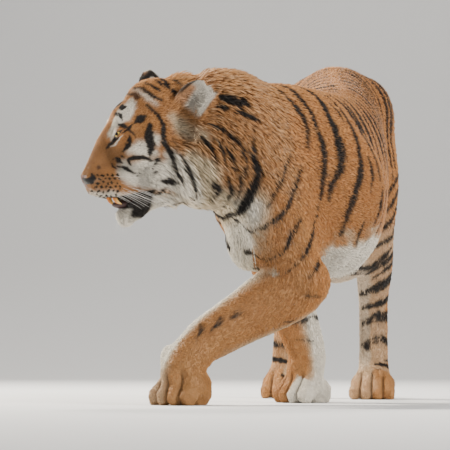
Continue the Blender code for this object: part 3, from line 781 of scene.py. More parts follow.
BROW_DARK = marks(
    Tint.BLACK,
    (0.029, (0.12, 0.214), (0.128, 0.21)),
    (0.014, (0.104, 0.194), (0.109, 0.182), (0.114, 0.169)),
    (0.012, (0.104, 0.158), (0.114, 0.152), (0.126, 0.15)),
    soft=0.002,
    aside=0.026,
)
FACE_DARK = marks(
    Tint.BLACK,
    # round the eye
    (0.011, (0.073, 0.086), (0.084, 0.1), (0.096, 0.113), (0.104, 0.121)),
    (0.007, (0.11, 0.132), (0.12, 0.136), (0.132, 0.146), (0.15, 0.162)),
    (0.012, (0.126, 0.14), (0.136, 0.152)),
    (0.025, (0.152, 0.166), (0.168, 0.174), (0.182, 0.18)),
    (0.008, (0.126, 0.142), (0.139, 0.134), (0.148, 0.117)),
    (0.015, (0.131, 0.121), (0.131, 0.103), (0.123, 0.087), (0.111, 0.078)),
    (0.006, (0.046, -0.0545), (0.072, -0.057), (0.1, -0.055)),
    # the cheek
    (0.014, (0.135, 0.038), (0.129, 0.052), (0.141, 0.059), (0.165, 0.058), (0.192, 0.052)),
    (0.018, (0.2, 0.052), (0.212, 0.05)),
    (0.008, (0.212, 0.056), (0.196, 0.035)),
    (0.01, (0.104, 0.034), (0.123, 0.028), (0.147, 0.014)),
    (0.006, (0.086, 0.04), (0.101, 0.026)),
    (0.011, (0.1, 0.057), (0.114, 0.046)),
    (0.006, (0.108, 0.064), (0.117, 0.063)),
    (0.016, (0.184, 0.216), (0.205, 0.196), (0.218, 0.184), (0.227, 0.156), (0.225, 0.13), (0.228, 0.104),
     (0.243, 0.08), (0.25, 0.052), (0.259, 0.022), (0.273, -0.006), (0.281, -0.026)),
    (0.02, (0.222, -0.01), (0.248, -0.012), (0.262, -0.016)),
    (0.014, (0.27, 0.068), (0.283, 0.04), (0.297, 0.016), (0.307, -0.009), (0.318, -0.036), (0.328, -0.064)),
    (0.01, (0.213, -0.046), (0.232, -0.033)),
    # the crown
    (0.009, (0.062, 0.155), (0.083, 0.186), (0.112, 0.216), (0.15, 0.258)),
    (0.012, (0.163, 0.268), (0.183, 0.262), (0.208, 0.24), (0.232, 0.228)),
    (0.012, (0.191, 0.281), (0.21, 0.27), (0.229, 0.254)),
    (0.016, (0.241, 0.297), (0.25, 0.284), (0.258, 0.264)),
    (0.012, (0.266, 0.264), (0.274, 0.242)),
    (0.01, (0.22, 0.292), (0.232, 0.28), (0.244, 0.266)),
    (0.009, (0.146, 0.25), (0.158, 0.246), (0.167, 0.234)),
    (0.011, (0.28, 0.292), (0.296, 0.27)),
    # the neck
    (0.034, (0.395, 0.236), (0.431, 0.225), (0.464, 0.219), (0.48, 0.206)),
    (0.018, (0.44, 0.19), (0.476, 0.178), (0.508, 0.163)),
    (0.022, (0.384, 0.205), (0.41, 0.2)),
    (0.014, (0.352, 0.156), (0.388, 0.14), (0.414, 0.115), (0.443, 0.09), (0.473, 0.066)),
    (0.03, (0.473, 0.066), (0.492, 0.033), (0.503, 0.008), (0.486, -0.02), (0.473, -0.058), (0.452, -0.107),
     (0.436, -0.138)),
    (0.013, (0.485, 0.118), (0.482, 0.085), (0.494, 0.055)),
    (0.019, (0.364, -0.012), (0.388, -0.036), (0.379, -0.07)),
    (0.012, (0.33, 0.12), (0.356, 0.086), (0.372, 0.05)),
    (0.011, (0.395, 0.09), (0.42, 0.05), (0.428, 0.01)),
    (0.013, (0.405, 0.0), (0.424, -0.04), (0.418, -0.08)),
    (0.009, (0.372, 0.11), (0.392, 0.07), (0.398, 0.02)),
    (0.009, (0.43, 0.12), (0.448, 0.08), (0.46, 0.03), (0.452, -0.02)),
    (0.008, (0.442, 0.03), (0.448, -0.03), (0.44, -0.075)),
)
CHEEK_WEDGE = marks(
    Tint.BLACK,
    (0.027, (0.188, 0.154), (0.183, 0.132), (0.188, 0.1), (0.186, 0.062)),
    ends=(0.5, 0.12),
)


def face_spots() -> list[Mark]:
    """Small dark spots on the cheek and chin line, and the rows that the whiskers grow from.

    Returns:
        The marks.
    """
    drawn = []
    for size, places in (
        (0.01, ((0.202, 0.014), (0.197, -0.07), (0.213, -0.07), (0.226, -0.073), (0.24, -0.073))),
        (0.006, ((0.175, 0.027), (0.16, 0.016), (0.155, 0.006), (0.194, 0.027), (0.091, 0.055),
                 (0.155, 0.094))),
        (0.011, ((0.275, -0.075), (0.288, -0.073), (0.3, -0.076), (0.19, -0.06), (0.206, -0.056))),
    ):
        drawn += [Mark((place,), size, soft=0.0015) for place in places]
    for row in range(6):
        for column in range(6):
            back = 0.034 + 0.0135 * column + 0.005 * math.sin(2.4 * row)
            up = 0.008 - 0.0118 * row + 0.0016 * math.sin(3.1 * column + row)
            size = 0.0096 + 0.0014 * math.sin(5.3 * column + 1.7 * row)
            drawn.append(Mark(((back - 0.0026, up), (back + 0.0026, up - 0.0008)), size, soft=0.001))
    brown = [
        Mark(((0.162, 0.243),), 0.02, Tint.BROWN, soft=0.004),
        Mark(((0.052, 0.03),), 0.009, Tint.BROWN, soft=0.003),
    ]
    return drawn + brown


SHOULDER_DARK = marks(
    Tint.BLACK,
    (0.014, (-0.054, 0.74), (-0.09, 0.7), (-0.123, 0.66), (-0.165, 0.615), (-0.19, 0.58)),
    (0.018, (-0.006, 0.705), (-0.027, 0.672), (-0.052, 0.638), (-0.1, 0.595), (-0.142, 0.562),
     (-0.175, 0.533), (-0.2, 0.508), (-0.215, 0.49)),
    (0.018, (-0.048, 0.555), (-0.077, 0.53), (-0.105, 0.504), (-0.116, 0.475), (-0.12, 0.452), (-0.14, 0.43)),
    (0.017, (0.035, 0.547), (0.018, 0.508), (-0.03, 0.467), (-0.06, 0.435), (-0.1, 0.39)),
    (0.012, (0.02, 0.43), (-0.01, 0.4), (-0.04, 0.372)),
    soft=0.003,
)
BARREL_DARK = marks(
    Tint.BLACK,
    (0.013, (-0.05, 6), (-0.03, 20), (0.0, 37), (0.035, 46), (0.047, 54), (0.047, 63), (0.045, 73)),
    (0.016, (0.02, 8), (0.045, 24), (0.055, 37), (0.078, 47), (0.087, 57), (0.101, 66), (0.107, 74),
     (0.1, 88), (0.092, 99), (0.067, 107), (0.055, 114), (0.03, 121)),
    (0.018, (0.09, 6), (0.13, 22), (0.14, 33), (0.143, 46), (0.148, 55), (0.15, 66), (0.146, 77),
     (0.139, 86), (0.12, 95), (0.112, 105)),
    (0.007, (0.17, 28), (0.19, 36), (0.195, 46)),
    (0.015, (0.19, 14), (0.22, 34), (0.225, 50), (0.207, 62), (0.2, 71), (0.195, 79), (0.185, 88),
     (0.172, 96), (0.163, 105), (0.155, 116), (0.15, 126)),
    (0.015, (0.24, 10), (0.27, 30), (0.28, 45), (0.27, 58), (0.265, 70), (0.27, 80), (0.275, 90)),
    (0.01, (0.235, 76), (0.24, 88), (0.225, 97)),
    (0.012, (0.29, 96), (0.28, 107), (0.26, 116)),
    (0.01, (0.215, 112), (0.2, 122), (0.215, 132)),
    (0.012, (0.345, 100), (0.335, 118), (0.325, 136)),
    (0.013, (0.395, 98), (0.38, 116), (0.365, 134), (0.36, 150)),
    (0.012, (0.45, 96), (0.43, 116), (0.415, 140)),
    (0.01, (0.56, 92), (0.53, 108), (0.5, 126)),
    (0.01, (0.62, 90), (0.59, 106), (0.56, 124)),
    (0.01, (0.68, 88), (0.65, 104), (0.62, 120)),
    (0.009, (0.44, 108), (0.425, 122), (0.42, 134)),
    soft=0.004,
)


def rump_marks() -> list[Mark]:
    """The close arcs that cross the loins and the rump and run down the haunch.

    Returns:
        The marks.
    """
    drawn = []
    for k in range(22):
        start = 0.292 + 0.0395 * k
        lean = min(0.036, 0.03 - 0.008 * (k - 7))
        width = 0.015 + 0.0035 * math.sin(2.1 * k)
        foot = 88 + 20 * math.sin(1.3 * k + 0.5)
        points = [(start + lean * t * t, 6 + foot * t) for t in (0.0, 0.25, 0.5, 0.75, 1.0)]
        drawn.append(Mark(tuple(points), width, soft=0.004))
    return drawn


HAUNCH_DARK = marks(
    Tint.BLACK,
    *((0.017, (0.02, z), (0.08, z - 0.008), (0.15, z - 0.045), (0.2, z - 0.1)) for z in (0.9, 0.845, 0.79)),
    *((0.015, (0.04, z), (0.1, z - 0.014), (0.16, z - 0.055)) for z in (0.735, 0.68, 0.63)),
    soft=0.004,
)


def tail_marks() -> list[Mark]:
    """Rings round the tail, and its dark tip.

    Returns:
        The marks.
    """
    drawn = []
    for k in range(14):
        along = 0.07 + 0.068 * k
        width = 0.02 + 0.006 * math.sin(1.9 * k)
        drawn.append(Mark(((-185, along), (0, along + 0.006), (185, along)), width, ends=(0.8, 0.8)))
    return drawn + [Mark(((-190, 1.07), (190, 1.07)), 0.19, ends=(1, 1))]


def bars(*rows: tuple) -> list[Mark]:
    """Dark bars round a leg, each row a width followed by (angle, height) points."""
    return [Mark(tuple(row[1:]), row[0], soft=0.004) for row in rows]


LEG_DARK = {
    Region.HIND_LEFT: bars(
        (0.011, (-60, 0.52), (0, 0.48), (60, 0.44), (110, 0.4)),
        (0.01, (-40, 0.47), (10, 0.445), (60, 0.412), (95, 0.385)),
        (0.019, (-70, 0.42), (0, 0.4), (45, 0.375), (90, 0.352), (145, 0.338)),
        (0.013, (-60, 0.345), (0, 0.33), (45, 0.315), (90, 0.303), (145, 0.292)),
        (0.022, (-80, 0.262), (0, 0.266), (60, 0.268), (135, 0.246)),
        (0.015, (-70, 0.17), (0, 0.182), (60, 0.197), (140, 0.174)),
        (0.016, (100, 0.172), (125, 0.168)),
        (0.009, (-10, 0.1), (45, 0.11), (85, 0.116)),
        (0.006, (-10, 0.122), (40, 0.126)),
        (0.008, (50, 0.08), (90, 0.083)),
        (0.01, (-150, 0.6), (-60, 0.59), (0, 0.56), (60, 0.51), (120, 0.455)),
        (0.01, (-150, 0.65), (-60, 0.64), (0, 0.61), (60, 0.56), (115, 0.5)),
        (0.01, (-150, 0.7), (-60, 0.69), (0, 0.66), (60, 0.61), (110, 0.545)),
        (0.01, (-140, 0.76), (-60, 0.745), (0, 0.715), (50, 0.67), (100, 0.6)),
        (0.008, (40, 0.49), (90, 0.43), (130, 0.4)),
        (0.01, (-160, 0.49), (-110, 0.45), (-80, 0.42)),
    ),
    Region.HIND_RIGHT: bars(
        (0.012, (-80, 0.175), (0, 0.185), (90, 0.172), (170, 0.16)),
        (0.011, (-60, 0.125), (30, 0.13), (120, 0.118)),
        (0.009, (20, 0.078), (120, 0.07)),
        (0.02, (-80, 0.255), (0, 0.262), (90, 0.25)),
        (0.013, (-60, 0.33), (0, 0.325), (90, 0.31), (150, 0.3)),
        (0.015, (-70, 0.4), (0, 0.39), (60, 0.365), (120, 0.345)),
        (0.012, (-60, 0.5), (0, 0.47), (60, 0.43)),
        (0.013, (-150, 0.6), (-60, 0.59), (0, 0.56), (60, 0.53)),
        (0.013, (-150, 0.68), (-60, 0.66), (0, 0.63), (60, 0.59)),
        (0.012, (-140, 0.76), (-60, 0.735), (0, 0.705), (50, 0.66)),
    ),
    Region.FORE_RIGHT: bars(
        (0.017, (100, 0.246), (140, 0.25), (180, 0.262)),
        (0.017, (-180, 0.262), (-140, 0.256), (-100, 0.24)),
        (0.009, (120, 0.19), (165, 0.19)),
        (0.007, (20, 0.3), (70, 0.29)),
        (0.008, (-100, 0.34), (-40, 0.33)),
    ),
    Region.FORE_LEFT: bars(
        (0.009, (72, 0.24), (56, 0.222), (46, 0.196)),
        (0.008, (54, 0.258), (44, 0.24), (36, 0.216)),
        (0.006, (52, 0.28), (44, 0.268), (38, 0.25)),
        (0.008, (-38, 0.25), (-30, 0.24)),
        (0.006, (-30, 0.32), (20, 0.322)),
        (0.01, (-100, 0.212), (-120, 0.204)),
        (0.01, (-90, 0.236), (-110, 0.23)),
        (0.008, (-110, 0.3), (-140, 0.29)),
        (0.008, (140, 0.33), (180, 0.32)),
        (0.01, (150, 0.26), (180, 0.25)),
    ),
}


@dataclass
class Pattern:
    """The whole coat's colours: pale and orange grounds, dark marks, and the bare skin of nose and mouth.

    The degrees are metres of surface for each degree round the body, and the widths multiply those of marks.
    """

    wobble: float = 0.0032
    barrel_degree: float = 0.0043
    leg_degree: float = 0.0011
    tail_degree: float = 0.0007
    barrel_width: float = 1.3
    hind_width: float = 1.8
    spots: list = field(default_factory=face_spots)
    rump: list = field(default_factory=rump_marks)
    rings: list = field(default_factory=tail_marks)

    def colours(self, places: np.ndarray, regions: np.ndarray) -> np.ndarray:
        """The colour at each place.

        Args:
            places: Places in the row frame.
            regions: The index of each place's region.

        Returns:
            Linear colours, one row each.
        """
        shaken = places + np.stack([hashed(places, 0.05, seed) for seed in (11, 12, 13)], 1) * self.wobble
        colours = self.ground(shaken, regions)
        head = HEAD.read(shaken)
        face = np.stack((-head[:, 0], head[:, 2]), 1)
        on_head = (regions <= LAST_OF_TRUNK) & (face[:, 0] < 0.56)
        groups = (EAR_PALE, FACE_CREAM, FACE_PALE, FACE_TAN, BROW_PALE, BROW_DARK, FACE_DARK, CHEEK_WEDGE)
        groups += (self.spots, EYE_LINE)
        own = on_head & ~is_in(regions, Region.JAW)
        self.draw(colours, face, own, sum(groups, []), 1.0, np.abs(head[:, 1]))
        chest = CHEST.read(shaken)
        own = is_in(regions, Region.NECK, Region.TRUNK, Region.FORE_LEFT, Region.FORE_RIGHT)
        shoulder = np.stack((-chest[:, 0], chest[:, 2]), 1)
        self.draw(colours, shoulder, own & (np.abs(chest[:, 1]) > 0.03), SHOULDER_DARK, 1.0)
        along, angle, _ = SPINE.read(shaken)
        shift = np.where(angle < 0, 0.014 * np.sin(along * 17), 0.0)
        barrel = np.stack((np.abs(angle) * self.barrel_degree, along + shift), 1)
        trunk = is_in(regions, Region.TRUNK, Region.HIND_LEFT, Region.HIND_RIGHT, Region.TAIL_ROOT)
        turned = []
        for mark in BARREL_DARK + self.rump:
            line = tuple((degrees * self.barrel_degree, behind) for behind, degrees in mark.points)
            turned.append(Mark(line, mark.width * self.barrel_width, mark.tint, mark.ends, 0.003))
        self.draw(colours, barrel, trunk & (places[:, 2] > 0.36), turned, 1.0)
        pelvis = PELVIS.read(shaken)
        haunch = np.stack((np.abs(pelvis[:, 1] + 0.006 * np.sin(pelvis[:, 2] * 60)), pelvis[:, 2]), 1)
        self.draw(colours, haunch, is_in(regions, Region.TRUNK) & (along > 1.1), HAUNCH_DARK, 1.0)
        for region, limb in LIMBS.items():
            own = is_in(regions, region)
            angle = limb.read(shaken[own])[1]
            chart = np.zeros((len(places), 2))
            chart[own] = np.stack((angle, shaken[own][:, 2]), 1)
            wide = self.hind_width if region in (Region.HIND_LEFT, Region.HIND_RIGHT) else 1.0
            turned = [Mark(m.points, m.width * wide, m.tint, m.ends, 0.003) for m in LEG_DARK[region]]
            self.draw(colours, chart, own, turned, self.leg_degree)
        own = regions >= FIRST_OF_TAIL
        along, angle, _ = TAIL.read(shaken[own])
        chart = np.zeros((len(places), 2))
        chart[own] = np.stack((angle, along), 1)
        self.draw(colours, chart, own, self.rings, self.tail_degree)
        # painted shade: the clefts between the toes are painted darker, over the grooves sunk there
        for region, paw in PAWS.items():
            own = np.nonzero(is_in(regions, region))[0]
            cleft = paw.cleft(places[own])
            colours[own] *= (1 - 0.55 * cleft)[:, None]
        self.ears(colours, places)
        self.mouth(colours, places, regions)
        return colours

    def draw(
        self,
        colours: np.ndarray,
        chart: np.ndarray,
        own: np.ndarray,
        drawn: list[Mark],
        stretch: float,
        out: np.ndarray | None = None,
    ) -> None:
        """Lays marks over the colours, where their part of the body is.

        Args:
            colours: The colours so far, which change.
            chart: Every place's spot on the chart.
            own: Which places belong to that part of the body.
            drawn: The marks.
            stretch: Metres for one unit of the chart's first column.
            out: How far each place is from the middle of the body, for marks that keep aside.
        """
        members = np.nonzero(own)[0]
        if not len(members):
            return
        flat = chart[members]
        for mark in drawn:
            near, share = mark.cover(flat, stretch)
            spots = members[near]
            if mark.aside and out is not None:
                share = share * smooth_step(out[spots], mark.aside - 0.008, mark.aside + 0.004)
            colours[spots] += (mark.tint.colour - colours[spots]) * share[:, None]

    def ground(self, places: np.ndarray, regions: np.ndarray) -> np.ndarray:
        """Orange above and outside, cream below and inside, before any marks.

        Args:
            places: Places in the row frame.
            regions: The index of each place's region.

        Returns:
            Linear colours, one row each.
        """
        along, angle, _ = SPINE.read(places)
        low = np.abs(angle) + 8 * hashed(places, 0.11, 3)
        stops = (-0.3, -0.1, 0.0, 0.12, 0.25, 0.34, 0.42, 0.8, 1.0)
        edge = np.interp(along, stops, (150, 150, 146, 134, 124, 118, 138, 146, 165))
        pale = smooth_step(low - edge, -9, 9)
        front = smooth_step(CHEST.read(places)[:, 0], 0.155, 0.215) * smooth_step(places[:, 2], 0.66, 0.58)
        pale = np.maximum(pale, front)
        for region, limb in LIMBS.items():
            own = is_in(regions, region)
            angle = limb.read(places[own])[1]
            height = places[own][:, 2]
            if region is Region.HIND_LEFT or region is Region.HIND_RIGHT:
                ahead = smooth_step(np.cos(np.radians(angle - 105)), -0.15, 0.35)
                inside = smooth_step(np.cos(np.radians(angle - 180)), -0.2, 0.3)
                front = 0.45 if region is Region.HIND_LEFT else 0.2
                share = np.maximum(inside * 0.75, ahead * smooth_step(height, 0.62, 0.5) * front)
                share *= 0.4 + 0.6 * smooth_step(height, 0.05, 0.13)
                pale[own] *= 0.6
            elif region is Region.FORE_LEFT:
                share = smooth_step(np.cos(np.radians(angle - 132)), 0.42, 0.84)
                share = share * smooth_step(height, 0.44, 0.36)
                under = smooth_step(np.cos(np.radians(angle + 105)), 0.3, 0.85)
                under = 0.55 * (under * smooth_step(height, 0.1, 0.2)) * smooth_step(height, 0.4, 0.32)
                share = np.maximum(share, under)
                share *= 0.35 + 0.65 * smooth_step(height, 0.05, 0.15)
            else:
                share = smooth_step(np.cos(np.radians(angle - 200)), 0.28, 0.8)
            pale[own] = np.maximum(share, pale[own] * smooth_step(height, 0.42, 0.5))
        tail = regions >= FIRST_OF_TAIL
        pale[tail] = 0.45
        head = HEAD.read(places)
        is_head = regions <= LAST_OF_HEAD
        pale[is_head] = smooth_step(head[is_head][:, 2], -0.035, -0.06)
        pale[is_in(regions, Region.JAW)] = 1.0
        ridge = np.exp(-((angle_from_top(places) / 34) ** 2)) * ~is_head
        ground = mixed(Tint.ORANGE.colour, Tint.TAN.colour, 0.35 * ridge)
        warm = 0.5 + 0.5 * hashed(places, 0.09, 5)
        nape = smooth_step(along, 0.06, -0.1) * 0.45
        ground = mixed(ground, Tint.TAN.colour * 0.85, nape)
        low = smooth_step(places[:, 2], 0.3, 0.06)
        ground = mixed(ground, Tint.GOLD.colour, 0.18 * warm + 0.22 * low)
        light = mixed(Tint.CREAM.colour, Tint.WHITE.colour, smooth_step(pale, 0.5, 1.0))
        return mixed(ground, light, pale)

    def ears(self, colours: np.ndarray, places: np.ndarray) -> None:
        """Black backs with a white spot, and pale insides with a thin dark rim.

        Args:
            colours: The colours so far, which change.
            places: Places in the row frame.
        """
        for which, share in enumerate(COAT.ear_shares(places)):
            near = share > 0
            height, behind, front = COAT.ear(which, places[near])
            turned = 0.03 * (1 - which) * smooth_step(behind, -0.004, 0.014)
            back_side = smooth_step(front + turned, 0.002, -0.002)
            spot = np.hypot(behind, (height - 0.052) * 0.8)
            back = mixed(Tint.BLACK.colour, Tint.WHITE.colour, smooth_step(spot, 0.02, 0.012))
            back = mixed(Tint.ORANGE.colour, back, smooth_step(height, 0.02, 0.034))
            ahead = smooth_step(behind, 0.002, -0.014) * smooth_step(height, 0.1, 0.08)
            inside = Tint.GREY.colour + (Tint.WHITE.colour - Tint.GREY.colour) * 0.55
            inside = mixed(inside, Tint.ORANGE.colour * 0.9, 0.85 * ahead)
            half = 0.043 * np.sqrt(np.clip(1 - (np.clip(height, 0, None) / 0.122) ** 1.6, 0.02, 1))
            rim = smooth_step(np.abs(behind) - half, -0.006, -0.0025) * smooth_step(height, 0.03, 0.06)
            rim *= 1 - (1 - which) * smooth_step(behind, -0.01, 0.0)
            inside = mixed(inside, Tint.BLACK.colour, 0.85 * rim)
            tint = mixed(inside, back, back_side)
            colours[near] += (tint - colours[near]) * share[near][:, None]

    def mouth(self, colours: np.ndarray, places: np.ndarray, regions: np.ndarray) -> None:
        """Black lips, the inside of the mouth painted black as painted shade, the nose's leather with
        nostrils painted black as painted shade, and dark rims round the eyes.

        Args:
            colours: The colours so far, which change.
            places: Places in the row frame.
            regions: The index of each place's region.
        """
        head = HEAD.read(places)
        back, up = -head[:, 0], head[:, 2]
        upper = is_in(regions, Region.HEAD)
        edge = np.interp(back, (0.05, 0.1, 0.13, 0.16, 0.2), (-0.062, -0.059, -0.053, -0.046, -0.038))
        edge = edge + 0.005 * smooth_step(back, 0.05, 0.1)
        roof = smooth_step(up - edge, 0.003, -0.003) * smooth_step(back, 0.212, 0.2)
        roof = roof * smooth_step(back, 0.03, 0.045) * upper
        jaw = is_in(regions, Region.JAW)
        lip = LIP.read(back)
        lip_edge = smooth_step(up - lip, -0.007, -0.003) * jaw
        side_black = smooth_step(back, 0.11, 0.118) * smooth_step(up, -0.092, -0.086)
        flews = smooth_step(back, 0.141, 0.154) * smooth_step(up, -0.122, -0.11)
        side_black = np.maximum(side_black, flews) * smooth_step(back, 0.212, 0.2) * jaw
        # black lips and flews are their own colour; black over the mouth's roof and gums, inside the mouth,
        # is painted shade
        dark = np.maximum(np.maximum(roof, lip_edge), side_black)
        for side in (1, -1):
            gap = Lids(side).gap(places)
            near = np.linalg.norm(places - Lids(side).centre(), axis=1) < 0.026
            dark = np.maximum(dark, smooth_step(gap, -0.003, -0.0012) * near)
        colours += (Tint.BLACK.colour - colours) * dark[:, None]
        leather = NOSE.leather(places)
        colours += (Tint.LEATHER.colour - colours) * leather[:, None]
        # painted shade: the nostrils' openings are painted black, with no hollow in the skin
        nostril = NOSE.nostril(places)
        colours += (Tint.BLACK.colour - colours) * smooth_step(nostril, -0.003, 0.0)[:, None]


class Lip:
    """The upper edge of the lower jaw, as the height at each distance behind the nose tip."""

    BACKS = (0.11, 0.13, 0.152, 0.168, 0.232)
    HEIGHTS = (-0.079, -0.078, -0.067, -0.057, -0.04)

    def read(self, back: np.ndarray) -> np.ndarray:
        """The edge's height at each distance behind the nose tip."""
        return np.interp(back, self.BACKS, self.HEIGHTS)


LIP = Lip()


def angle_from_top(places: np.ndarray) -> np.ndarray:
    """Degrees down from the middle of the back, on either side."""
    return np.abs(SPINE.read(places)[1])


@dataclass(frozen=True)
class Nose:
    """The bare pad of the nose and its comma-shaped nostrils."""

    def leather(self, places: np.ndarray) -> np.ndarray:
        """1 on the bare pad, 0 off it.

        Args:
            places: Places in the row frame.

        Returns:
            One share for each place.
        """
        head = HEAD.read(places)
        back, out, up = -head[:, 0], np.abs(head[:, 1]), head[:, 2]
        width = np.interp(up, (-0.034, -0.022, -0.008, 0.006), (0.003, 0.008, 0.02, 0.025))
        inside = np.minimum(width - out, 0.009 - up)
        inside = np.minimum(inside, 0.036 - back)
        inside = np.minimum(inside, up + 0.034)
        return smooth_step(inside, -0.002, 0.002) * (back < 0.06)

    def nostril(self, places: np.ndarray) -> np.ndarray:
        """How far inside a nostril each place is, in metres, negative outside.

        Args:
            places: Places in the row frame.

        Returns:
            One distance for each place.
        """
        head = HEAD.read(places)
        back, out, up = -head[:, 0], np.abs(head[:, 1]), head[:, 2]
        flat = np.stack((back, up), 1)
        line = np.array(((0.011, -0.005), (0.021, -0.009), (0.028, -0.006), (0.034, 0.005)))
        gap = np.full(len(places), -1.0)
        for start, end, width in zip(line, line[1:], (0.005, 0.0078, 0.0046)):
            run = end - start
            t = np.clip(((flat - start) @ run) / (run @ run), 0, 1)
            gap = np.maximum(gap, width - np.linalg.norm(flat - start - t[:, None] * run, axis=1))
        return np.where(out > 0.008, gap, -1.0)


NOSE = Nose()
PATTERN = Pattern()


# ---------------------------------------------------------------- the skin


@dataclass
class Skin:
    """One skin over the whole body, inside the solids by the coat's depth, with its lids, nose and lips."""

    voxel: float = 0.0046
    swell: float = 0.0012
    face_edge: float = 0.003
    lid_reach: float = 0.0022
    body_share: float = 0.24
    thing: bpy.types.Object = None
    regions: np.ndarray = None
    tree: BVHTree = None
    node_of_face: list[int] = field(default_factory=list)

    def build(self) -> bpy.types.Object:
        """Makes the skin's mesh.

        Returns:
            The skin's object.
        """
        self.join_flesh()
        self.fuse()
        self.refine_face()
        self.sort_regions()
        self.sink()
        self.shape_face()
        return self.thing

    def join_flesh(self) -> None:
        """Copies the solids of flesh, merged, swollen a little so that the cuts between them close."""
        whole = bmesh.new()
        faces, places = [], []
        for index, region in enumerate(REGIONS):
            piece = bmesh.new()
            piece.from_mesh(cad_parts[region.value].data)
            bmesh.ops.remove_doubles(piece, verts=piece.verts, dist=0.00002)
            piece.normal_update()
            for vertex in piece.verts:
                vertex.co += vertex.normal * self.swell
            base = len(places)
            places += [vertex.co.copy() for vertex in piece.verts]
            for face in piece.faces:
                faces.append([base + corner.index for corner in face.verts])
                self.node_of_face.append(index)
            mesh = bpy.data.meshes.new("piece")
            piece.to_mesh(mesh)
            whole.from_mesh(mesh)
            piece.free()
            bpy.data.meshes.remove(mesh)
        for side in (1, -1):
            centre = HEAD.at(EYE_PLACE[0], EYE_PLACE[1] * side, EYE_PLACE[2])
            matrix = Matrix.Translation(centre.tolist())
            radius = EYE_RADIUS + self.lid_reach + 0.002
            bmesh.ops.create_icosphere(whole, subdivisions=4, radius=radius, matrix=matrix)
        self.tree = BVHTree.FromPolygons(places, faces)
        mesh = bpy.data.meshes.new("skin")
        whole.to_mesh(mesh)
        whole.free()
        self.thing = put_in_scene("skin", mesh)

    def fuse(self) -> None:
        """One closed form, fine on the head and coarser on the body."""
        remesh = self.thing.modifiers.new("fuse", "REMESH")
        remesh.mode = "VOXEL"
        remesh.voxel_size = self.voxel
        mesh = baked(self.thing)
        places = coordinates_of(mesh)
        head = HEAD.read(places)
        fine = smooth_step(head[:, 0], -0.4, -0.34) * smooth_step(head[:, 2], -0.24, -0.18)
        ankles = 1.0 - smooth_step(places[:, 2], 0.1, 0.16)
        keep = np.maximum(fine, ankles)
        group = self.thing.vertex_groups.new(name="plain")
        for level in range(11):
            members = np.nonzero(np.round((1 - keep) * 10) == level)[0]
            if len(members):
                group.add(members.tolist(), level / 10, "REPLACE")
        thin = self.thing.modifiers.new("thin", "DECIMATE")
        thin.ratio = self.body_share
        thin.vertex_group = "plain"
        thin.use_collapse_triangulate = True
        baked(self.thing)
        self.thing.vertex_groups.clear()

    def refine_face(self) -> None:
        """Splits the faces of the face, and again those round the eyes, the nose and the mouth."""
        shape = bmesh.new()
        shape.from_mesh(self.thing.data)
        eyes = [HEAD.at(EYE_PLACE[0], EYE_PLACE[1] * side, EYE_PLACE[2]) for side in (1, -1)]
        nose = HEAD.at(-0.022, 0.0, -0.002)
        for longest in (self.face_edge, self.face_edge * 0.55):
            edges = []
            for edge in shape.edges:
                middle = np.array((edge.verts[0].co + edge.verts[1].co) / 2)
                near = min(np.linalg.norm(middle - eye) for eye in eyes) < 0.027
                near = near or np.linalg.norm(middle - nose) < 0.034
                if near and edge.calc_length() > longest:
                    edges.append(edge)
            bmesh.ops.subdivide_edges(shape, edges=edges, cuts=1, use_grid_fill=False)
            bmesh.ops.triangulate(shape, faces=[face for face in shape.faces if len(face.verts) > 3])
        shape.to_mesh(self.thing.data)
        shape.free()

    def sort_regions(self) -> None:
        """Notes which solid each vertex of the skin comes from."""
        places = coordinates_of(self.thing.data)
        found = np.zeros(len(places), int)
        for k, place in enumerate(places):
            index = self.tree.find_nearest(place)[2]
            found[k] = self.node_of_face[index]
        self.regions = found

    def sink(self) -> None:
        """Lays the skin inside the solids by the depth of the coat."""
        mesh = self.thing.data
        pairs = edges_of(mesh)
        places = coordinates_of(mesh)
        soft = smooth_step(places[:, 2], 0.06, 0.12)[:, None]
        places = places * (1 - soft) + spread(places, pairs, 2) * soft
        move_to(mesh, places)
        depth = COAT.depth(places, self.regions)
        depth = spread(depth, pairs, 8) + self.swell
        normals = unit(spread(normals_of(mesh), pairs, 4))
        for region, paw in PAWS.items():
            cleft = paw.cleft(places) * is_in(self.regions, region)
            depth += 0.0055 * cleft
        sunk = places - normals * depth[:, None]
        soles = 1 - smooth_step(places[:, 2], 0.004, 0.016)
        sunk[:, 2] = sunk[:, 2] * (1 - soles) + np.maximum(places[:, 2], 0.0008) * soles
        sunk[:, 2] = np.maximum(sunk[:, 2], 0.0008)
        move_to(mesh, sunk)

    def shape_face(self) -> None:
        """Opens the lids over the eyes."""
        mesh = self.thing.data
        places = coordinates_of(mesh)
        for side in (1, -1):
            lids = Lids(side)
            places = lids.open(places)
        move_to(mesh, places)

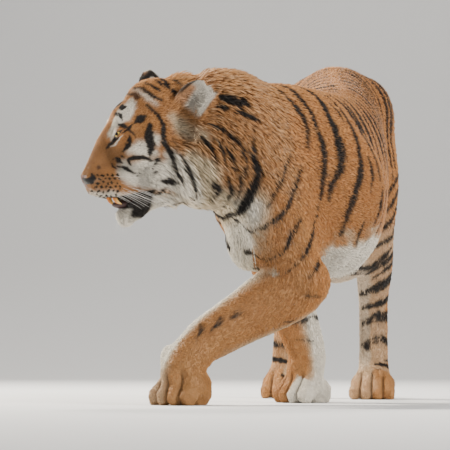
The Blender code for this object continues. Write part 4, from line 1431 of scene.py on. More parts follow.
    def bare(self, places: np.ndarray, regions: np.ndarray) -> np.ndarray:
        """1 where no hair grows: the nose, the lips and mouth, the lids' edges and the soles.

        Args:
            places: Places in the row frame.
            regions: The index of each place's region.

        Returns:
            One share for each place.
        """
        head = HEAD.read(places)
        back, up = -head[:, 0], head[:, 2]
        bare = np.maximum(NOSE.leather(places), smooth_step(NOSE.nostril(places), -0.003, 0.0))
        edge = np.interp(back, (0.05, 0.1, 0.13, 0.16, 0.2), (-0.062, -0.059, -0.055, -0.05, -0.042))
        roof = smooth_step(up - edge, 0.001, -0.003) * smooth_step(back, 0.205, 0.19)
        roof = roof * is_in(regions, Region.HEAD)
        gums = smooth_step(up - LIP.read(back), -0.006, -0.002) * smooth_step(back, 0.205, 0.19)
        gums = gums * is_in(regions, Region.JAW)
        bare = np.maximum(np.maximum(bare, roof), gums)
        for side in (1, -1):
            lids = Lids(side)
            near = np.linalg.norm(places - lids.centre(), axis=1) < 0.026
            bare = np.maximum(bare, smooth_step(lids.gap(places), -0.0034, -0.0022) * near)
        return np.maximum(bare, smooth_step(places[:, 2], 0.004, 0.002))

    def regions_at(self, points: np.ndarray) -> np.ndarray:
        """The region of each point, from the nearest solid."""
        return np.array([self.node_of_face[self.tree.find_nearest(point)[2]] for point in points])

    def dress(self) -> None:
        """Paints the skin with the coat's own markings, made darker as painted shade under the coat."""
        mesh = self.thing.data
        places = coordinates_of(mesh)
        # painted shade: the markings' colours at 0.82 on the skin, for the shade under the locks
        colours = PATTERN.colours(places, self.regions) * 0.82
        put_attribute(mesh, "coat", np.concatenate((colours, np.ones((len(colours), 1))), 1))
        put_attribute(mesh, "bare", self.bare(places, self.regions))
        mesh.materials.clear()
        mesh.materials.append(SkinFinish().material())
        mesh.polygons.foreach_set("use_smooth", np.ones(len(mesh.polygons), bool))


@dataclass(frozen=True)
class Lids:
    """The lids of one eye: a slit between a nose-side and an ear-side corner on the eye's own ball."""

    side: int
    length: float = 0.0155
    upper: float = 0.0036
    lower: float = 0.0034
    thickness: float = 0.0021

    def axes(self) -> np.ndarray:
        """Rows: the way the eye looks, along the slit towards the ear, and across it towards the brow."""
        look = HEAD.turned(0.62, 0.76 * self.side, 0.16)
        along = HEAD.turned(-0.66, 0.2 * self.side, 0.72)
        along = unit(along - look * (along @ look))
        return np.array((look, along, np.cross(look, along) * -self.side))

    def centre(self) -> np.ndarray:
        """The middle of the eye's ball."""
        return HEAD.at(EYE_PLACE[0], EYE_PLACE[1] * self.side, EYE_PLACE[2])

    def gap(self, places: np.ndarray) -> np.ndarray:
        """How far each place is inside the slit, in metres on the ball, negative outside it.

        Args:
            places: Places in the row frame.

        Returns:
            One distance for each place.
        """
        local = (places - self.centre()) @ self.axes().T
        reach = np.linalg.norm(local, axis=1) + 1e-9
        along = np.arctan2(local[:, 1], local[:, 0]) * EYE_RADIUS
        across = np.arcsin(np.clip(local[:, 2] / reach, -1, 1)) * EYE_RADIUS
        share = np.clip(np.abs(along) / self.length, 0, 1.5)
        width = np.where(across > 0, self.upper, self.lower) * (1 - share**1.8)
        inside = width - np.abs(across)
        return np.where(local[:, 0] > 0, inside, -0.02)

    def open(self, places: np.ndarray) -> np.ndarray:
        """Moves the skin off the slit and onto the lids.

        Args:
            places: The skin's vertices.

        Returns:
            Their new places.
        """
        offset = places - self.centre()
        reach = np.linalg.norm(offset, axis=1)
        facing = offset @ self.axes()[0] > -0.004
        gap = self.gap(places)
        lid = EYE_RADIUS + self.thickness * (1 - 0.45 * smooth_step(gap, -0.004, 0.0))
        behind = EYE_RADIUS - 0.0035
        near = (reach < 0.03) & facing
        slit = near & (gap > 0)
        over = near & ~slit & (reach < lid)
        new = reach.copy()
        new[over] = lid[over]
        new[slit] = behind
        return self.centre() + offset * (new / np.maximum(reach, 1e-9))[:, None]


# ---------------------------------------------------------------- finishes


class Shader:
    """A material with its Principled shader, and short ways to add and join nodes."""

    def __init__(self, name: str, colour: tuple[float, float, float], roughness: float) -> None:
        """Makes the material.

        Args:
            name: The material's name.
            colour: Linear base colour.
            roughness: Base roughness.
        """
        self.material = bpy.data.materials.new(name)
        self.material.use_nodes = True
        self.nodes = self.material.node_tree.nodes
        self.links = self.material.node_tree.links
        self.shader = self.nodes["Principled BSDF"]
        self.put("Base Color", (*colour, 1.0))
        self.put("Roughness", roughness)

    def put(self, socket: str, value: object) -> None:
        """Sets one of the shader's own sockets."""
        self.shader.inputs[socket].default_value = value

    def add(self, kind: str, **settings: object) -> bpy.types.Node:
        """A new node with settings made on it."""
        node = self.nodes.new(kind)
        for key, value in settings.items():
            setattr(node, key, value)
        return node

    def join(self, source: bpy.types.NodeSocket, target: bpy.types.NodeSocket) -> None:
        """Links two sockets."""
        self.links.new(source, target)

    def noise(
        self, scale: float, detail: float = 2.0, stretch: tuple[float, float, float] = (1, 1, 1)
    ) -> bpy.types.NodeSocket:
        """Noise on Object coordinates, in cells of 1/scale metres.

        Args:
            scale: Cells in a metre.
            detail: How many finer layers.
            stretch: Scale along X, Y and Z.

        Returns:
            The noise's socket.
        """
        where = self.add("ShaderNodeTexCoord")
        mapping = self.add("ShaderNodeMapping")
        mapping.inputs["Scale"].default_value = stretch
        grain = self.add("ShaderNodeTexNoise")
        grain.inputs["Scale"].default_value = scale
        grain.inputs["Detail"].default_value = detail
        self.join(where.outputs["Object"], mapping.inputs["Vector"])
        self.join(mapping.outputs["Vector"], grain.inputs["Vector"])
        return grain.outputs["Fac"]

    def span(self, source: bpy.types.NodeSocket, low: float, high: float) -> bpy.types.NodeSocket:
        """A value from 0 to 1 spread from low to high."""
        node = self.add("ShaderNodeMapRange")
        node.inputs["To Min"].default_value = low
        node.inputs["To Max"].default_value = high
        self.join(source, node.inputs["Value"])
        return node.outputs["Result"]

    def bump(self, source: bpy.types.NodeSocket, depth: float) -> None:
        """Raises the surface by a pattern, to a depth in metres."""
        node = self.add("ShaderNodeBump")
        node.inputs["Strength"].default_value = 1.0
        node.inputs["Distance"].default_value = depth
        self.join(source, node.inputs["Height"])
        self.join(node.outputs["Normal"], self.shader.inputs["Normal"])

    def tinted(self, attribute: str, shade: bpy.types.NodeSocket) -> None:
        """Colours the surface by a colour attribute times a shade."""
        kept = self.add("ShaderNodeAttribute", attribute_name=attribute)
        times = self.add("ShaderNodeVectorMath", operation="SCALE")
        self.join(kept.outputs["Color"], times.inputs[0])
        self.join(shade, times.inputs["Scale"])
        self.join(times.outputs["Vector"], self.shader.inputs["Base Color"])


@dataclass(frozen=True)
class SkinFinish:
    """Short hair seen as fine bump over the markings, with wet black lips and a pebbled nose."""

    roughness: float = 0.72
    grain: float = 420.0

    def material(self) -> bpy.types.Material:
        """The finish as a material."""
        made = Shader("skin", (0.4, 0.2, 0.1), self.roughness)
        made.tinted("coat", made.span(made.noise(90.0, 4.0), 0.72, 1.08))
        bare = made.add("ShaderNodeAttribute", attribute_name="bare")
        made.join(made.span(bare.outputs["Fac"], self.roughness, 0.5), made.shader.inputs["Roughness"])
        made.bump(made.noise(self.grain, 3.0), 0.0012)
        return made.material


@dataclass(frozen=True)
class CoatFinish:
    """Hair: the markings' colours with small changes from lock to lock and a soft sheen."""

    roughness: float = 0.58

    def material(self) -> bpy.types.Material:
        """The finish as a material."""
        made = Shader("coat", (0.5, 0.25, 0.1), self.roughness)
        made.tinted("coat", made.span(made.noise(160.0, 2.0), 0.86, 1.14))
        made.put("Sheen Weight", 0.04)
        made.put("Sheen Roughness", 0.4)
        made.put("Specular IOR Level", 0.22)
        return made.material


@dataclass(frozen=True)
class EyeFinish:
    """A wet ball with a round pupil, an amber iris and a dark rim."""

    pupil: float = 0.0034
    iris: float = 0.0098

    def material(self) -> bpy.types.Material:
        """The finish as a material."""
        made = Shader("eye", (0.7, 0.5, 0.1), 0.06)
        away = made.add("ShaderNodeAttribute", attribute_name="away")
        ramp = made.add("ShaderNodeValToRGB")
        stops = (
            (0.0, (0.004, 0.004, 0.004, 1)),
            (self.pupil, (0.004, 0.004, 0.004, 1)),
            (self.pupil + 0.0006, (0.38, 0.2, 0.02, 1)),
            (self.iris * 0.65, (0.8, 0.56, 0.1, 1)),
            (self.iris * 0.93, (0.55, 0.33, 0.05, 1)),
            (self.iris, (0.02, 0.015, 0.01, 1)),
            (self.iris * 1.25, (0.1, 0.07, 0.05, 1)),
        )
        elements = ramp.color_ramp.elements
        for index, (place, colour) in enumerate(stops):
            share = place / 0.0175
            element = elements[index] if index < 2 else elements.new(share)
            element.position = share
            element.color = colour
        made.join(made.span(away.outputs["Fac"], 0.0, 1.0), ramp.inputs["Fac"])
        streaks = made.span(made.noise(900.0, 2.0), 0.75, 1.15)
        times = made.add("ShaderNodeVectorMath", operation="SCALE")
        made.join(ramp.outputs["Color"], times.inputs[0])
        made.join(streaks, times.inputs["Scale"])
        made.join(times.outputs["Vector"], made.shader.inputs["Base Color"])
        made.put("Coat Weight", 1.0)
        made.put("Coat Roughness", 0.03)
        return made.material


@dataclass(frozen=True)
class ToothFinish:
    """Old ivory, stained orange towards the gum."""

    def material(self) -> bpy.types.Material:
        """The finish as a material."""
        made = Shader("tooth", (0.78, 0.62, 0.36), 0.28)
        stain = made.add("ShaderNodeAttribute", attribute_name="stain")
        mix = made.add("ShaderNodeMix", data_type="RGBA")
        mix.inputs[6].default_value = (0.78, 0.56, 0.16, 1)
        mix.inputs[7].default_value = (0.5, 0.15, 0.012, 1)
        made.join(stain.outputs["Fac"], mix.inputs[0])
        made.join(mix.outputs[2], made.shader.inputs["Base Color"])
        made.bump(made.noise(300.0, 2.0), 0.0003)
        return made.material


@dataclass(frozen=True)
class PlainFinish:
    """One colour with a faint grain, for whiskers, the tongue and the studio's floor."""

    name: str
    colour: tuple[float, float, float]
    roughness: float
    grain: float = 60.0

    def material(self) -> bpy.types.Material:
        """The finish as a material."""
        made = Shader(self.name, self.colour, self.roughness)
        grain = made.span(made.noise(self.grain), self.roughness - 0.05, self.roughness + 0.05)
        made.join(grain, made.shader.inputs["Roughness"])
        return made.material


# ---------------------------------------------------------------- tufts


class Tree:
    """A Geometry Nodes tree under construction."""

    def __init__(self, name: str, sockets: tuple[tuple[str, str, object], ...]) -> None:
        """Starts the tree with its inputs.

        Args:
            name: The tree's name.
            sockets: Name, socket type and default of each input after the geometry.
        """
        self.tree = bpy.data.node_groups.new(name, "GeometryNodeTree")
        face = self.tree.interface
        face.new_socket("Geometry", in_out="INPUT", socket_type="NodeSocketGeometry")
        for title, kind, default in sockets:
            made = face.new_socket(title, in_out="INPUT", socket_type=kind)
            if default is not None:
                made.default_value = default
        face.new_socket("Geometry", in_out="OUTPUT", socket_type="NodeSocketGeometry")
        self.start = self.tree.nodes.new("NodeGroupInput")
        self.end = self.tree.nodes.new("NodeGroupOutput")

    def add(self, kind: str, joined: dict | None = None, **settings: object) -> bpy.types.Node:
        """A new node.

        Args:
            kind: The node's type.
            joined: For each input's identifier or name, what it gets: a socket or a plain value.
            **settings: Properties set on the node first.

        Returns:
            The node.
        """
        node = self.tree.nodes.new(kind)
        for key, value in settings.items():
            setattr(node, key, value)
        for key, value in (joined or {}).items():
            socket = next(s for s in node.inputs if key in (s.identifier, s.name) and s.enabled)
            if isinstance(value, bpy.types.NodeSocket):
                self.tree.links.new(value, socket)
            else:
                socket.default_value = value
        return node

    def named(self, name: str, kind: str = "FLOAT") -> bpy.types.NodeSocket:
        """Reads a named attribute."""
        node = self.add("GeometryNodeInputNamedAttribute", {"Name": name}, data_type=kind)
        return next(s for s in node.outputs if s.name == "Attribute" and s.enabled)

    def math(self, operation: str, first: object, second: object) -> bpy.types.NodeSocket:
        """Arithmetic on two numbers."""
        node = self.add("ShaderNodeMath", {"Value": first, "Value_001": second}, operation=operation)
        return node.outputs[0]

    def vector(self, operation: str, first: object, second: object) -> bpy.types.NodeSocket:
        """Arithmetic on two vectors, or a vector and a number for SCALE."""
        key = "Scale" if operation == "SCALE" else "Vector_001"
        node = self.add("ShaderNodeVectorMath", {"Vector": first, key: second}, operation=operation)
        return node.outputs["Vector"]

    def chance(self, low: float, high: float, seed: int) -> bpy.types.NodeSocket:
        """A random number for each point."""
        node = self.add("FunctionNodeRandomValue", {"Min": low, "Max": high, "Seed": seed}, data_type="FLOAT")
        return next(s for s in node.outputs if s.enabled)

    def keep(
        self, geometry: bpy.types.NodeSocket, name: str, kind: str, domain: str, value: object
    ) -> bpy.types.NodeSocket:
        """Stores a named attribute.

        Args:
            geometry: What it is stored on.
            name: The attribute's name.
            kind: Its data type.
            domain: Where it is stored.
            value: The socket it comes from.

        Returns:
            The new geometry.
        """
        node = self.add(
            "GeometryNodeStoreNamedAttribute",
            {"Geometry": geometry, "Name": name, "Value": value},
            data_type=kind,
            domain=domain,
        )
        return node.outputs["Geometry"]


class Cut(Enum):
    """The shapes of lock: rings along the length, as (share of the length, width, height, thickness)."""

    SHORT = ((0.42, 1.0, 0.05, 0.1),)
    LONG = ((0.28, 1.0, 0.06, 0.075), (0.68, 0.72, 0.05, 0.05))

    @property
    def corners(self) -> int:
        """How many vertices one lock has."""
        return 2 + 3 * len(self.value)

    def template(self) -> bpy.types.Object:
        """One closed lock along +Y, of length and width one, for the tree to repeat.

        Returns:
            The lock's object.
        """
        shape = bmesh.new()
        root = shape.verts.new((0, 0, 0))
        rows = []
        for share, width, height, thick in self.value:
            ring = ((-width / 2, share, height), (width / 2, share, height), (0, share, height + thick))
            rows.append([shape.verts.new(place) for place in ring])
        tip = shape.verts.new((0, 1, 0.0))
        for k in range(3):
            n = (k + 1) % 3
            shape.faces.new((root, rows[0][n], rows[0][k]))
            shape.faces.new((tip, rows[-1][k], rows[-1][n]))
            for near, far in zip(rows, rows[1:]):
                shape.faces.new((near[k], near[n], far[n]))
                shape.faces.new((near[k], far[n], far[k]))
        bmesh.ops.recalc_face_normals(shape, faces=shape.faces)
        mesh = bpy.data.meshes.new("lock_" + self.name.lower())
        shape.to_mesh(mesh)
        shape.free()
        places = coordinates_of(mesh)
        put_attribute(mesh, "leaf", np.stack((places[:, 0] + 0.5, places[:, 1], places[:, 2] * 0), 1))
        return put_in_scene(mesh.name, mesh)


PATCH_SIZE = 0.003
LOCK_SLIM = 0.06
LOCK_LEAST = 0.0008
LOCK_STRAY = 0.13


def coat_tree() -> bpy.types.NodeTree:
    """The tree that covers a patch of the skin with locks lying along the coat.

    Returns:
        The tree.
    """
    tree = Tree(
        "coat_locks",
        (
            ("Patch", "NodeSocketInt", 0),
            ("Thickness", "NodeSocketFloat", 1.0),
            ("Seed", "NodeSocketInt", 1),
            ("Lock", "NodeSocketObject", None),
            ("Finish", "NodeSocketMaterial", None),
        ),
    )
    start = tree.start.outputs
    here = tree.add(
        "FunctionNodeCompare",
        {"A_INT": tree.named("patch", "INT"), "B_INT": start["Patch"]},
        data_type="INT",
        operation="EQUAL",
    )
    density = tree.math("MULTIPLY", tree.named("coat_density"), start["Thickness"])
    points = tree.add(
        "GeometryNodeDistributePointsOnFaces",
        {"Mesh": start["Geometry"], "Selection": here.outputs[0], "Density": density, "Seed": start["Seed"]},
        distribute_method="RANDOM",
    )
    reach = {"Min": (-LOCK_STRAY,) * 3, "Max": (LOCK_STRAY,) * 3, "Seed": 5}
    stray = tree.add("FunctionNodeRandomValue", reach, data_type="FLOAT_VECTOR")
    lie = tree.vector("ADD", tree.named("coat_lie", "FLOAT_VECTOR"), stray.outputs["Value"])
    lift = tree.math("MULTIPLY", tree.named("coat_lift"), tree.chance(0.7, 1.35, 6))
    direction = tree.vector("ADD", lie, tree.vector("SCALE", points.outputs["Normal"], lift))
    turn = tree.add(
        "FunctionNodeAxesToRotation",
        {"Primary Axis": direction, "Secondary Axis": points.outputs["Normal"]},
        primary_axis="Y",
        secondary_axis="Z",
    )
    length = tree.math("MULTIPLY", tree.named("coat_length"), tree.chance(0.7, 1.15, 7))
    width = tree.math("ADD", tree.math("MULTIPLY", length, LOCK_SLIM), LOCK_LEAST)
    size = tree.add("ShaderNodeCombineXYZ", {"X": width, "Y": length, "Z": length})
    lock = tree.add("GeometryNodeObjectInfo", {"Object": start["Lock"]})
    place = tree.add("GeometryNodeInputPosition").outputs[0]
    marked = tree.keep(points.outputs["Points"], "root", "FLOAT_VECTOR", "POINT", place)
    marked = tree.keep(marked, "chance", "FLOAT", "POINT", tree.chance(0.0, 1.0, 8))
    placed = tree.add(
        "GeometryNodeInstanceOnPoints",
        {
            "Points": marked,
            "Instance": lock.outputs["Geometry"],
            "Rotation": turn.outputs[0],
            "Scale": size.outputs[0],
        },
    )
    real = tree.add("GeometryNodeRealizeInstances", {"Geometry": placed.outputs[0]})
    leaf = tree.vector("SUBTRACT", tree.named("leaf", "FLOAT_VECTOR"), (0.5, 0.5, 0.0))
    leaf = tree.vector("SCALE", leaf, PATCH_SIZE)
    spot = tree.vector("ADD", tree.named("spread", "FLOAT_VECTOR"), leaf)
    mapped = tree.keep(real.outputs[0], "OFBake", "FLOAT2", "CORNER", spot)
    smooth = tree.add("GeometryNodeSetShadeSmooth", {"Geometry": mapped})
    done = tree.add("GeometryNodeSetMaterial", {"Geometry": smooth.outputs[0], "Material": start["Finish"]})
    tree.tree.links.new(done.outputs[0], tree.end.inputs[0])
    return tree.tree


@dataclass
class Pelt:
    """The coat over the skin: what each patch is called, and how its locks are cut and coloured."""

    skin: Skin
    cover: float = 1.45
    patches: list = field(default_factory=list)

    def prepare(self) -> None:
        """Writes on the skin where each patch is, and how its hair grows."""
        mesh = self.skin.thing.data
        regions = self.skin.regions
        places = coordinates_of(mesh)
        normals = normals_of(mesh)
        pairs = edges_of(mesh)
        length = spread(COAT.length(places, regions), pairs, 4)
        lie = COAT.lie(places, regions)
        for _ in range(6):
            lie = spread(lie, pairs, 5)
            lie = unit(lie - normals * (lie * normals).sum(1, keepdims=True))
        width = length * LOCK_SLIM + LOCK_LEAST
        bare = self.skin.bare(places, regions)
        limbs = spread((regions >= FIRST_OF_LIMBS).astype(float), pairs, 12)
        face = smooth_step(length, 0.012, 0.006) * (regions <= LAST_OF_HEAD)
        thin = (1 - 0.6 * limbs) * (1 - 0.3 * face)
        density = self.cover * 2.0 / (length * width) * (1 - bare) * thin
        put_attribute(mesh, "coat_length", length)
        put_attribute(mesh, "coat_lie", lie)
        put_attribute(mesh, "coat_lift", COAT.rise * (0.42 + 0.33 * smooth_step(length, 0.022, 0.034)))
        put_attribute(mesh, "coat_density", density)
        self.spread_out(mesh)
        self.sort_patches(mesh, places)

    def spread_out(self, mesh: bpy.types.Mesh) -> None:
        """Unwraps a plainer copy of the skin and reads each corner's place on it from there.

        Args:
            mesh: The skin's mesh.
        """
        plain = put_in_scene("plain_skin", mesh.copy())
        thin = plain.modifiers.new("thin", "DECIMATE")
        thin.ratio = 0.06
        baked(plain)
        plain.data.attributes.remove(plain.data.attributes["coat_length"])
        bpy.context.view_layer.objects.active = plain
        plain.select_set(True)
        bpy.ops.object.mode_set(mode="EDIT")
        bpy.ops.mesh.select_all(action="SELECT")
        bpy.ops.uv.smart_project(angle_limit=math.radians(66), island_margin=0.004)
        bpy.ops.object.mode_set(mode="OBJECT")
        shape = plain.data
        corners_of = [tuple(face.vertices) for face in shape.polygons]
        tree = BVHTree.FromPolygons([vertex.co.copy() for vertex in shape.vertices], corners_of)
        layer = shape.uv_layers.active.data
        self.atlas = (tree, shape, np.array([c.uv[:] for c in layer]))
        self.plain = plain

    def places_on_atlas(self, roots: np.ndarray) -> np.ndarray:
        """Where roots lie on the skin's unwrap.

        Args:
            roots: Places of the locks' roots.

        Returns:
            A place on the unwrap for each root.
        """
        tree, shape, corners = self.atlas
        found = np.zeros((len(roots), 2))
        points = coordinates_of(shape)
        loops = np.array([p.loop_indices[:3] for p in shape.polygons])
        corner_points = points[np.array([p.vertices[:3] for p in shape.polygons])]
        faces = np.array([tree.find_nearest(root)[2] for root in roots])
        a, b, c = (corner_points[faces, k] for k in range(3))
        ab, ac, ap = b - a, c - a, roots - a
        d00, d01, d11 = (ab * ab).sum(1), (ab * ac).sum(1), (ac * ac).sum(1)
        d20, d21 = (ap * ab).sum(1), (ap * ac).sum(1)
        size = np.maximum(d00 * d11 - d01 * d01, 1e-14)
        v = np.clip((d11 * d20 - d01 * d21) / size, 0, 1)
        w = np.clip((d00 * d21 - d01 * d20) / size, 0, 1)
        u = np.clip(1 - v - w, 0, 1)
        total = (u + v + w)[:, None]
        for share, k in ((u, 0), (v, 1), (w, 2)):
            found += corners[loops[faces, k]] * share[:, None] / total
        return found

    def sort_patches(self, mesh: bpy.types.Mesh, places: np.ndarray) -> None:
        """Gives every face the patch of coat that it belongs to.

        Args:
            mesh: The skin's mesh.
            places: Its vertices.
        """
        first = np.empty(len(mesh.loops), np.int32)
        mesh.loops.foreach_get("vertex_index", first)
        starts = np.empty(len(mesh.polygons), np.int32)
        mesh.polygons.foreach_get("loop_start", starts)
        corner = first[starts]
        region = self.skin.regions[corner]
        where = places[corner]
        head = HEAD.read(where)
        along, angle, _ = SPINE.read(where)
        left = np.where(region <= LAST_OF_HEAD, head[:, 1] > 0, angle > 0)
        names = []
        patch = np.full(len(corner), -1, np.int32)

        def claim(name: str, own: np.ndarray, cut: Cut) -> None:
            """Adds a patch over the faces that nothing has taken yet."""
            patch[own & (patch < 0)] = len(names)
            names.append((name, cut))

        is_head = region <= LAST_OF_HEAD
        face = is_head & (-head[:, 0] < 0.205)
        for side, own in (("left", left), ("right", ~left)):
            claim(f"coat_face_{side}", face & own, Cut.SHORT)
            claim(f"coat_ruff_{side}", is_head & own, Cut.LONG)
            claim(f"coat_neck_{side}", is_in(region, Region.NECK) & own, Cut.SHORT)
            trunk = is_in(region, Region.TRUNK) & own
            claim(f"coat_shoulder_{side}", trunk & (along < 0.18) & (np.abs(angle) < 128), Cut.SHORT)
            claim(f"coat_flank_{side}", trunk & (along < 0.55) & (np.abs(angle) < 128), Cut.SHORT)
            claim(f"coat_rump_{side}", trunk & (along >= 0.55), Cut.SHORT)
            claim(f"coat_belly_{side}", trunk, Cut.LONG)
        for limb in LIMBS:
            own = is_in(region, limb)
            claim(f"coat_{limb.value}_low", own & (where[:, 2] < 0.2), Cut.SHORT)
            claim(f"coat_{limb.value}", own, Cut.SHORT)
        claim("coat_tail", region >= FIRST_OF_TAIL, Cut.SHORT)
        kept = mesh.attributes.get("patch") or mesh.attributes.new("patch", "INT", "FACE")
        kept.data.foreach_set("value", patch)
        self.patches = names

    def grow(self) -> list[bpy.types.Object]:
        """Grows every patch's locks.

        Returns:
            The pieces of the coat.
        """
        tree = coat_tree()
        finish = CoatFinish().material()
        locks = {cut: cut.template() for cut in Cut}
        sockets = {item.name: item.identifier for item in tree.interface.items_tree if item.in_out == "INPUT"}
        mesh = self.skin.thing.data
        mesh.attributes.new("spread", "FLOAT_VECTOR", "POINT")
        pieces = []
        for index, (name, cut) in enumerate(self.patches):
            host = put_in_scene(name, mesh)
            nodes = host.modifiers.new("locks", "NODES")
            nodes.node_group = tree
            nodes[sockets["Patch"]] = index
            nodes[sockets["Thickness"]] = 0.85 if cut is Cut.LONG else 1.0
            nodes[sockets["Seed"]] = 20 + index
            nodes[sockets["Lock"]] = locks[cut]
            nodes[sockets["Finish"]] = finish
            graph = bpy.context.evaluated_depsgraph_get()
            grown = bpy.data.meshes.new_from_object(host.evaluated_get(graph))
            host.modifiers.clear()
            host.data = grown
            if not len(grown.vertices):
                bpy.data.objects.remove(host)
                continue
            self.colour(grown, cut)
            locks_grown = len(grown.vertices) // cut.corners
            log.info("%s: %d locks, %d triangles", name, locks_grown, len(grown.polygons))
            pieces.append(host)
        for lock in locks.values():
            bpy.data.objects.remove(lock)
        bpy.data.objects.remove(self.plain)
        return pieces

    def colour(self, grown: bpy.types.Mesh, cut: Cut) -> None:
        """Colours each lock from the pattern at its root, darker towards its root as painted shade deep in
        the coat, and paler at its tip.

        Args:
            grown: The patch's locks.
            cut: The shape of its locks.
        """
        corners = cut.corners
        values = {}
        for key, width, kind in (("root", 3, "vector"), ("chance", 1, "value"), ("leaf", 3, "vector")):
            flat = np.empty(len(grown.vertices) * width, np.float32)
            grown.attributes[key].data.foreach_get(kind, flat)
            values[key] = flat.reshape(-1, width).astype(float)
        roots = values["root"][::corners]
        chance = values["chance"][::corners, 0]
        regions = self.skin.regions_at(roots)
        places = coordinates_of(grown)
        run = places[corners - 1 :: corners] - places[::corners]
        stations = (0.06, *(ring[0] for ring in cut.value), 0.94)
        samples = [PATTERN.colours(roots + run * share, regions) for share in stations]
        length = COAT.length(roots, regions)
        light = samples[1].max(1)
        clump = hashed(roots, 0.022, 31)
        shade = 0.9 + 0.2 * chance + 0.08 * clump
        ticked = smooth_step(length, 0.022, 0.038) * (light > 0.15)
        dark = ticked * smooth_step(chance + 0.25 * clump, 0.14, 0.04) * 0.5
        pale = ticked * smooth_step(chance - 0.2 * clump, 0.74, 0.9) * 0.22
        along = values["leaf"][:, 1:2]
        rows = []
        for station, tint in enumerate(samples):
            tint = tint * shade[:, None]
            tint += (Tint.BROWN.colour - tint) * dark[:, None]
            tint += (Tint.CREAM.colour - tint) * pale[:, None]
            rows += [tint] * (1 if station in (0, len(samples) - 1) else 3)
        colours = np.stack(rows, 1).reshape(-1, 3)
        # painted shade: each lock darkens towards its root, for the shade deep in the coat
        colours *= 0.8 + 0.2 * np.minimum(along * 2, 1)
        tip = 0.12 * np.repeat(ticked, corners)[:, None] * along
        colours += (Tint.CREAM.colour - colours) * tip
        put_attribute(grown, "coat", np.concatenate((colours, np.ones((len(colours), 1))), 1))
        spread_at = np.repeat(self.places_on_atlas(roots), corners, axis=0)
        layer = grown.uv_layers["OFBake"]
        loop_vertex = np.empty(len(grown.loops), np.int32)
        grown.loops.foreach_get("vertex_index", loop_vertex)
        own = values["leaf"][loop_vertex][:, :2] - 0.5
        spots = spread_at[loop_vertex] + own * PATCH_SIZE
        layer.data.foreach_set("uv", spots.astype(np.float32).ravel())
        for attribute in list(grown.attributes):
            needed = attribute.name in ("coat", "OFBake", "material_index", "sharp_face")
            if not (needed or attribute.is_required or attribute.is_internal):
                grown.attributes.remove(attribute)


# ---------------------------------------------------------------- eyes, teeth and whiskers


@dataclass
class Eye:
    """One eyeball, with its iris looking out through the lids."""

    side: int
    radius: float = EYE_RADIUS

    @property
    def name(self) -> str:
        """The piece's name, after its side."""
        return "eyeball_left" if self.side > 0 else "eyeball_right"

    def build(self) -> bpy.types.Object:
        """Makes the ball, swollen a little over the iris.

        Returns:
            The eye's object.
        """
        lids = Lids(self.side)
        look = lids.axes()[0]
        shape = bmesh.new()
        bmesh.ops.create_icosphere(shape, subdivisions=5, radius=self.radius)
        mesh = bpy.data.meshes.new(self.name)
        shape.to_mesh(mesh)
        shape.free()
        places = coordinates_of(mesh)
        gaze = unit(look + HEAD.turned(0.5, 0.0, 0.1) * 0.1)
        away = np.arccos(np.clip(unit(places) @ gaze, -1, 1)) * self.radius
        swell = 1.0 + 0.035 * smooth_step(away, 0.0105, 0.004)
        move_to(mesh, places * swell[:, None] + lids.centre())
        put_attribute(mesh, "away", np.clip(away / 0.0175, 0, 1))
        mesh.polygons.foreach_set("use_smooth", np.ones(len(mesh.polygons), bool))
        mesh.materials.append(EyeFinish().material())
        return put_in_scene(self.name, mesh)


@dataclass(frozen=True)
class Tooth:
    """A curved canine: its root and tip as forward, left and up on the head, and its thickness."""

    name: str
    root: tuple
    tip: tuple
    radius: float
    bow: float = 0.006

    def build(self) -> bpy.types.Object:
        """Makes the tooth as a tapering closed cone with a rounded tip.

        Returns:
            The tooth's object.
        """
        root, tip = HEAD.at(*self.root), HEAD.at(*self.tip)
        run = unit(tip - root)
        side = unit(np.cross(run, HEAD.axes[1]))
        out = np.cross(side, run)
        rows = 12
        points = 14
        shape = bmesh.new()
        rings, stain = [], []
        for k in range(rows + 1):
            t = k / rows
            centre = root + (tip - root) * t + side * self.bow * math.sin(math.pi * t)
            radius = self.radius * (1 - t) ** 0.62 * (1 - 0.12 * t) + 0.0004
            ring = []
            for j in range(points):
                angle = 2 * math.pi * j / points
                place = centre + out * math.cos(angle) * radius * 0.78 + side * math.sin(angle) * radius
                ring.append(shape.verts.new(place))
                front = 0.5 + 0.5 * math.sin(angle) * (1 if side @ HEAD.axes[0] > 0 else -1)
                stain.append(min(max(1.15 - 1.5 * t, 0) * 0.8 + 0.9 * front * front, 1.0))
            rings.append(ring)
        for near, far in zip(rings, rings[1:]):
            for j in range(points):
                n = (j + 1) % points
                shape.faces.new((near[j], near[n], far[n], far[j]))
        shape.faces.new(rings[0][::-1])
        shape.faces.new(rings[-1])
        bmesh.ops.recalc_face_normals(shape, faces=shape.faces)
        mesh = bpy.data.meshes.new(self.name)
        shape.to_mesh(mesh)
        shape.free()
        put_attribute(mesh, "stain", np.array(stain))
        mesh.polygons.foreach_set("use_smooth", np.ones(len(mesh.polygons), bool))
        mesh.materials.append(TOOTH_MATERIAL)
        return put_in_scene(self.name, mesh)


TOOTH_MATERIAL = ToothFinish().material()
TEETH = tuple(
    Tooth(f"{name}_{label}", (root[0], root[1] * side, root[2]), (tip[0], tip[1] * side, tip[2]), radius)
    for side, label in ((1, "left"), (-1, "right"))
    for name, root, tip, radius in (
        ("upper_canine", (-0.098, 0.036, -0.05), (-0.121, 0.037, -0.076), 0.009),
        ("lower_canine", (-0.142, 0.02, -0.1), (-0.138, 0.024, -0.078), 0.0052),
    )
)


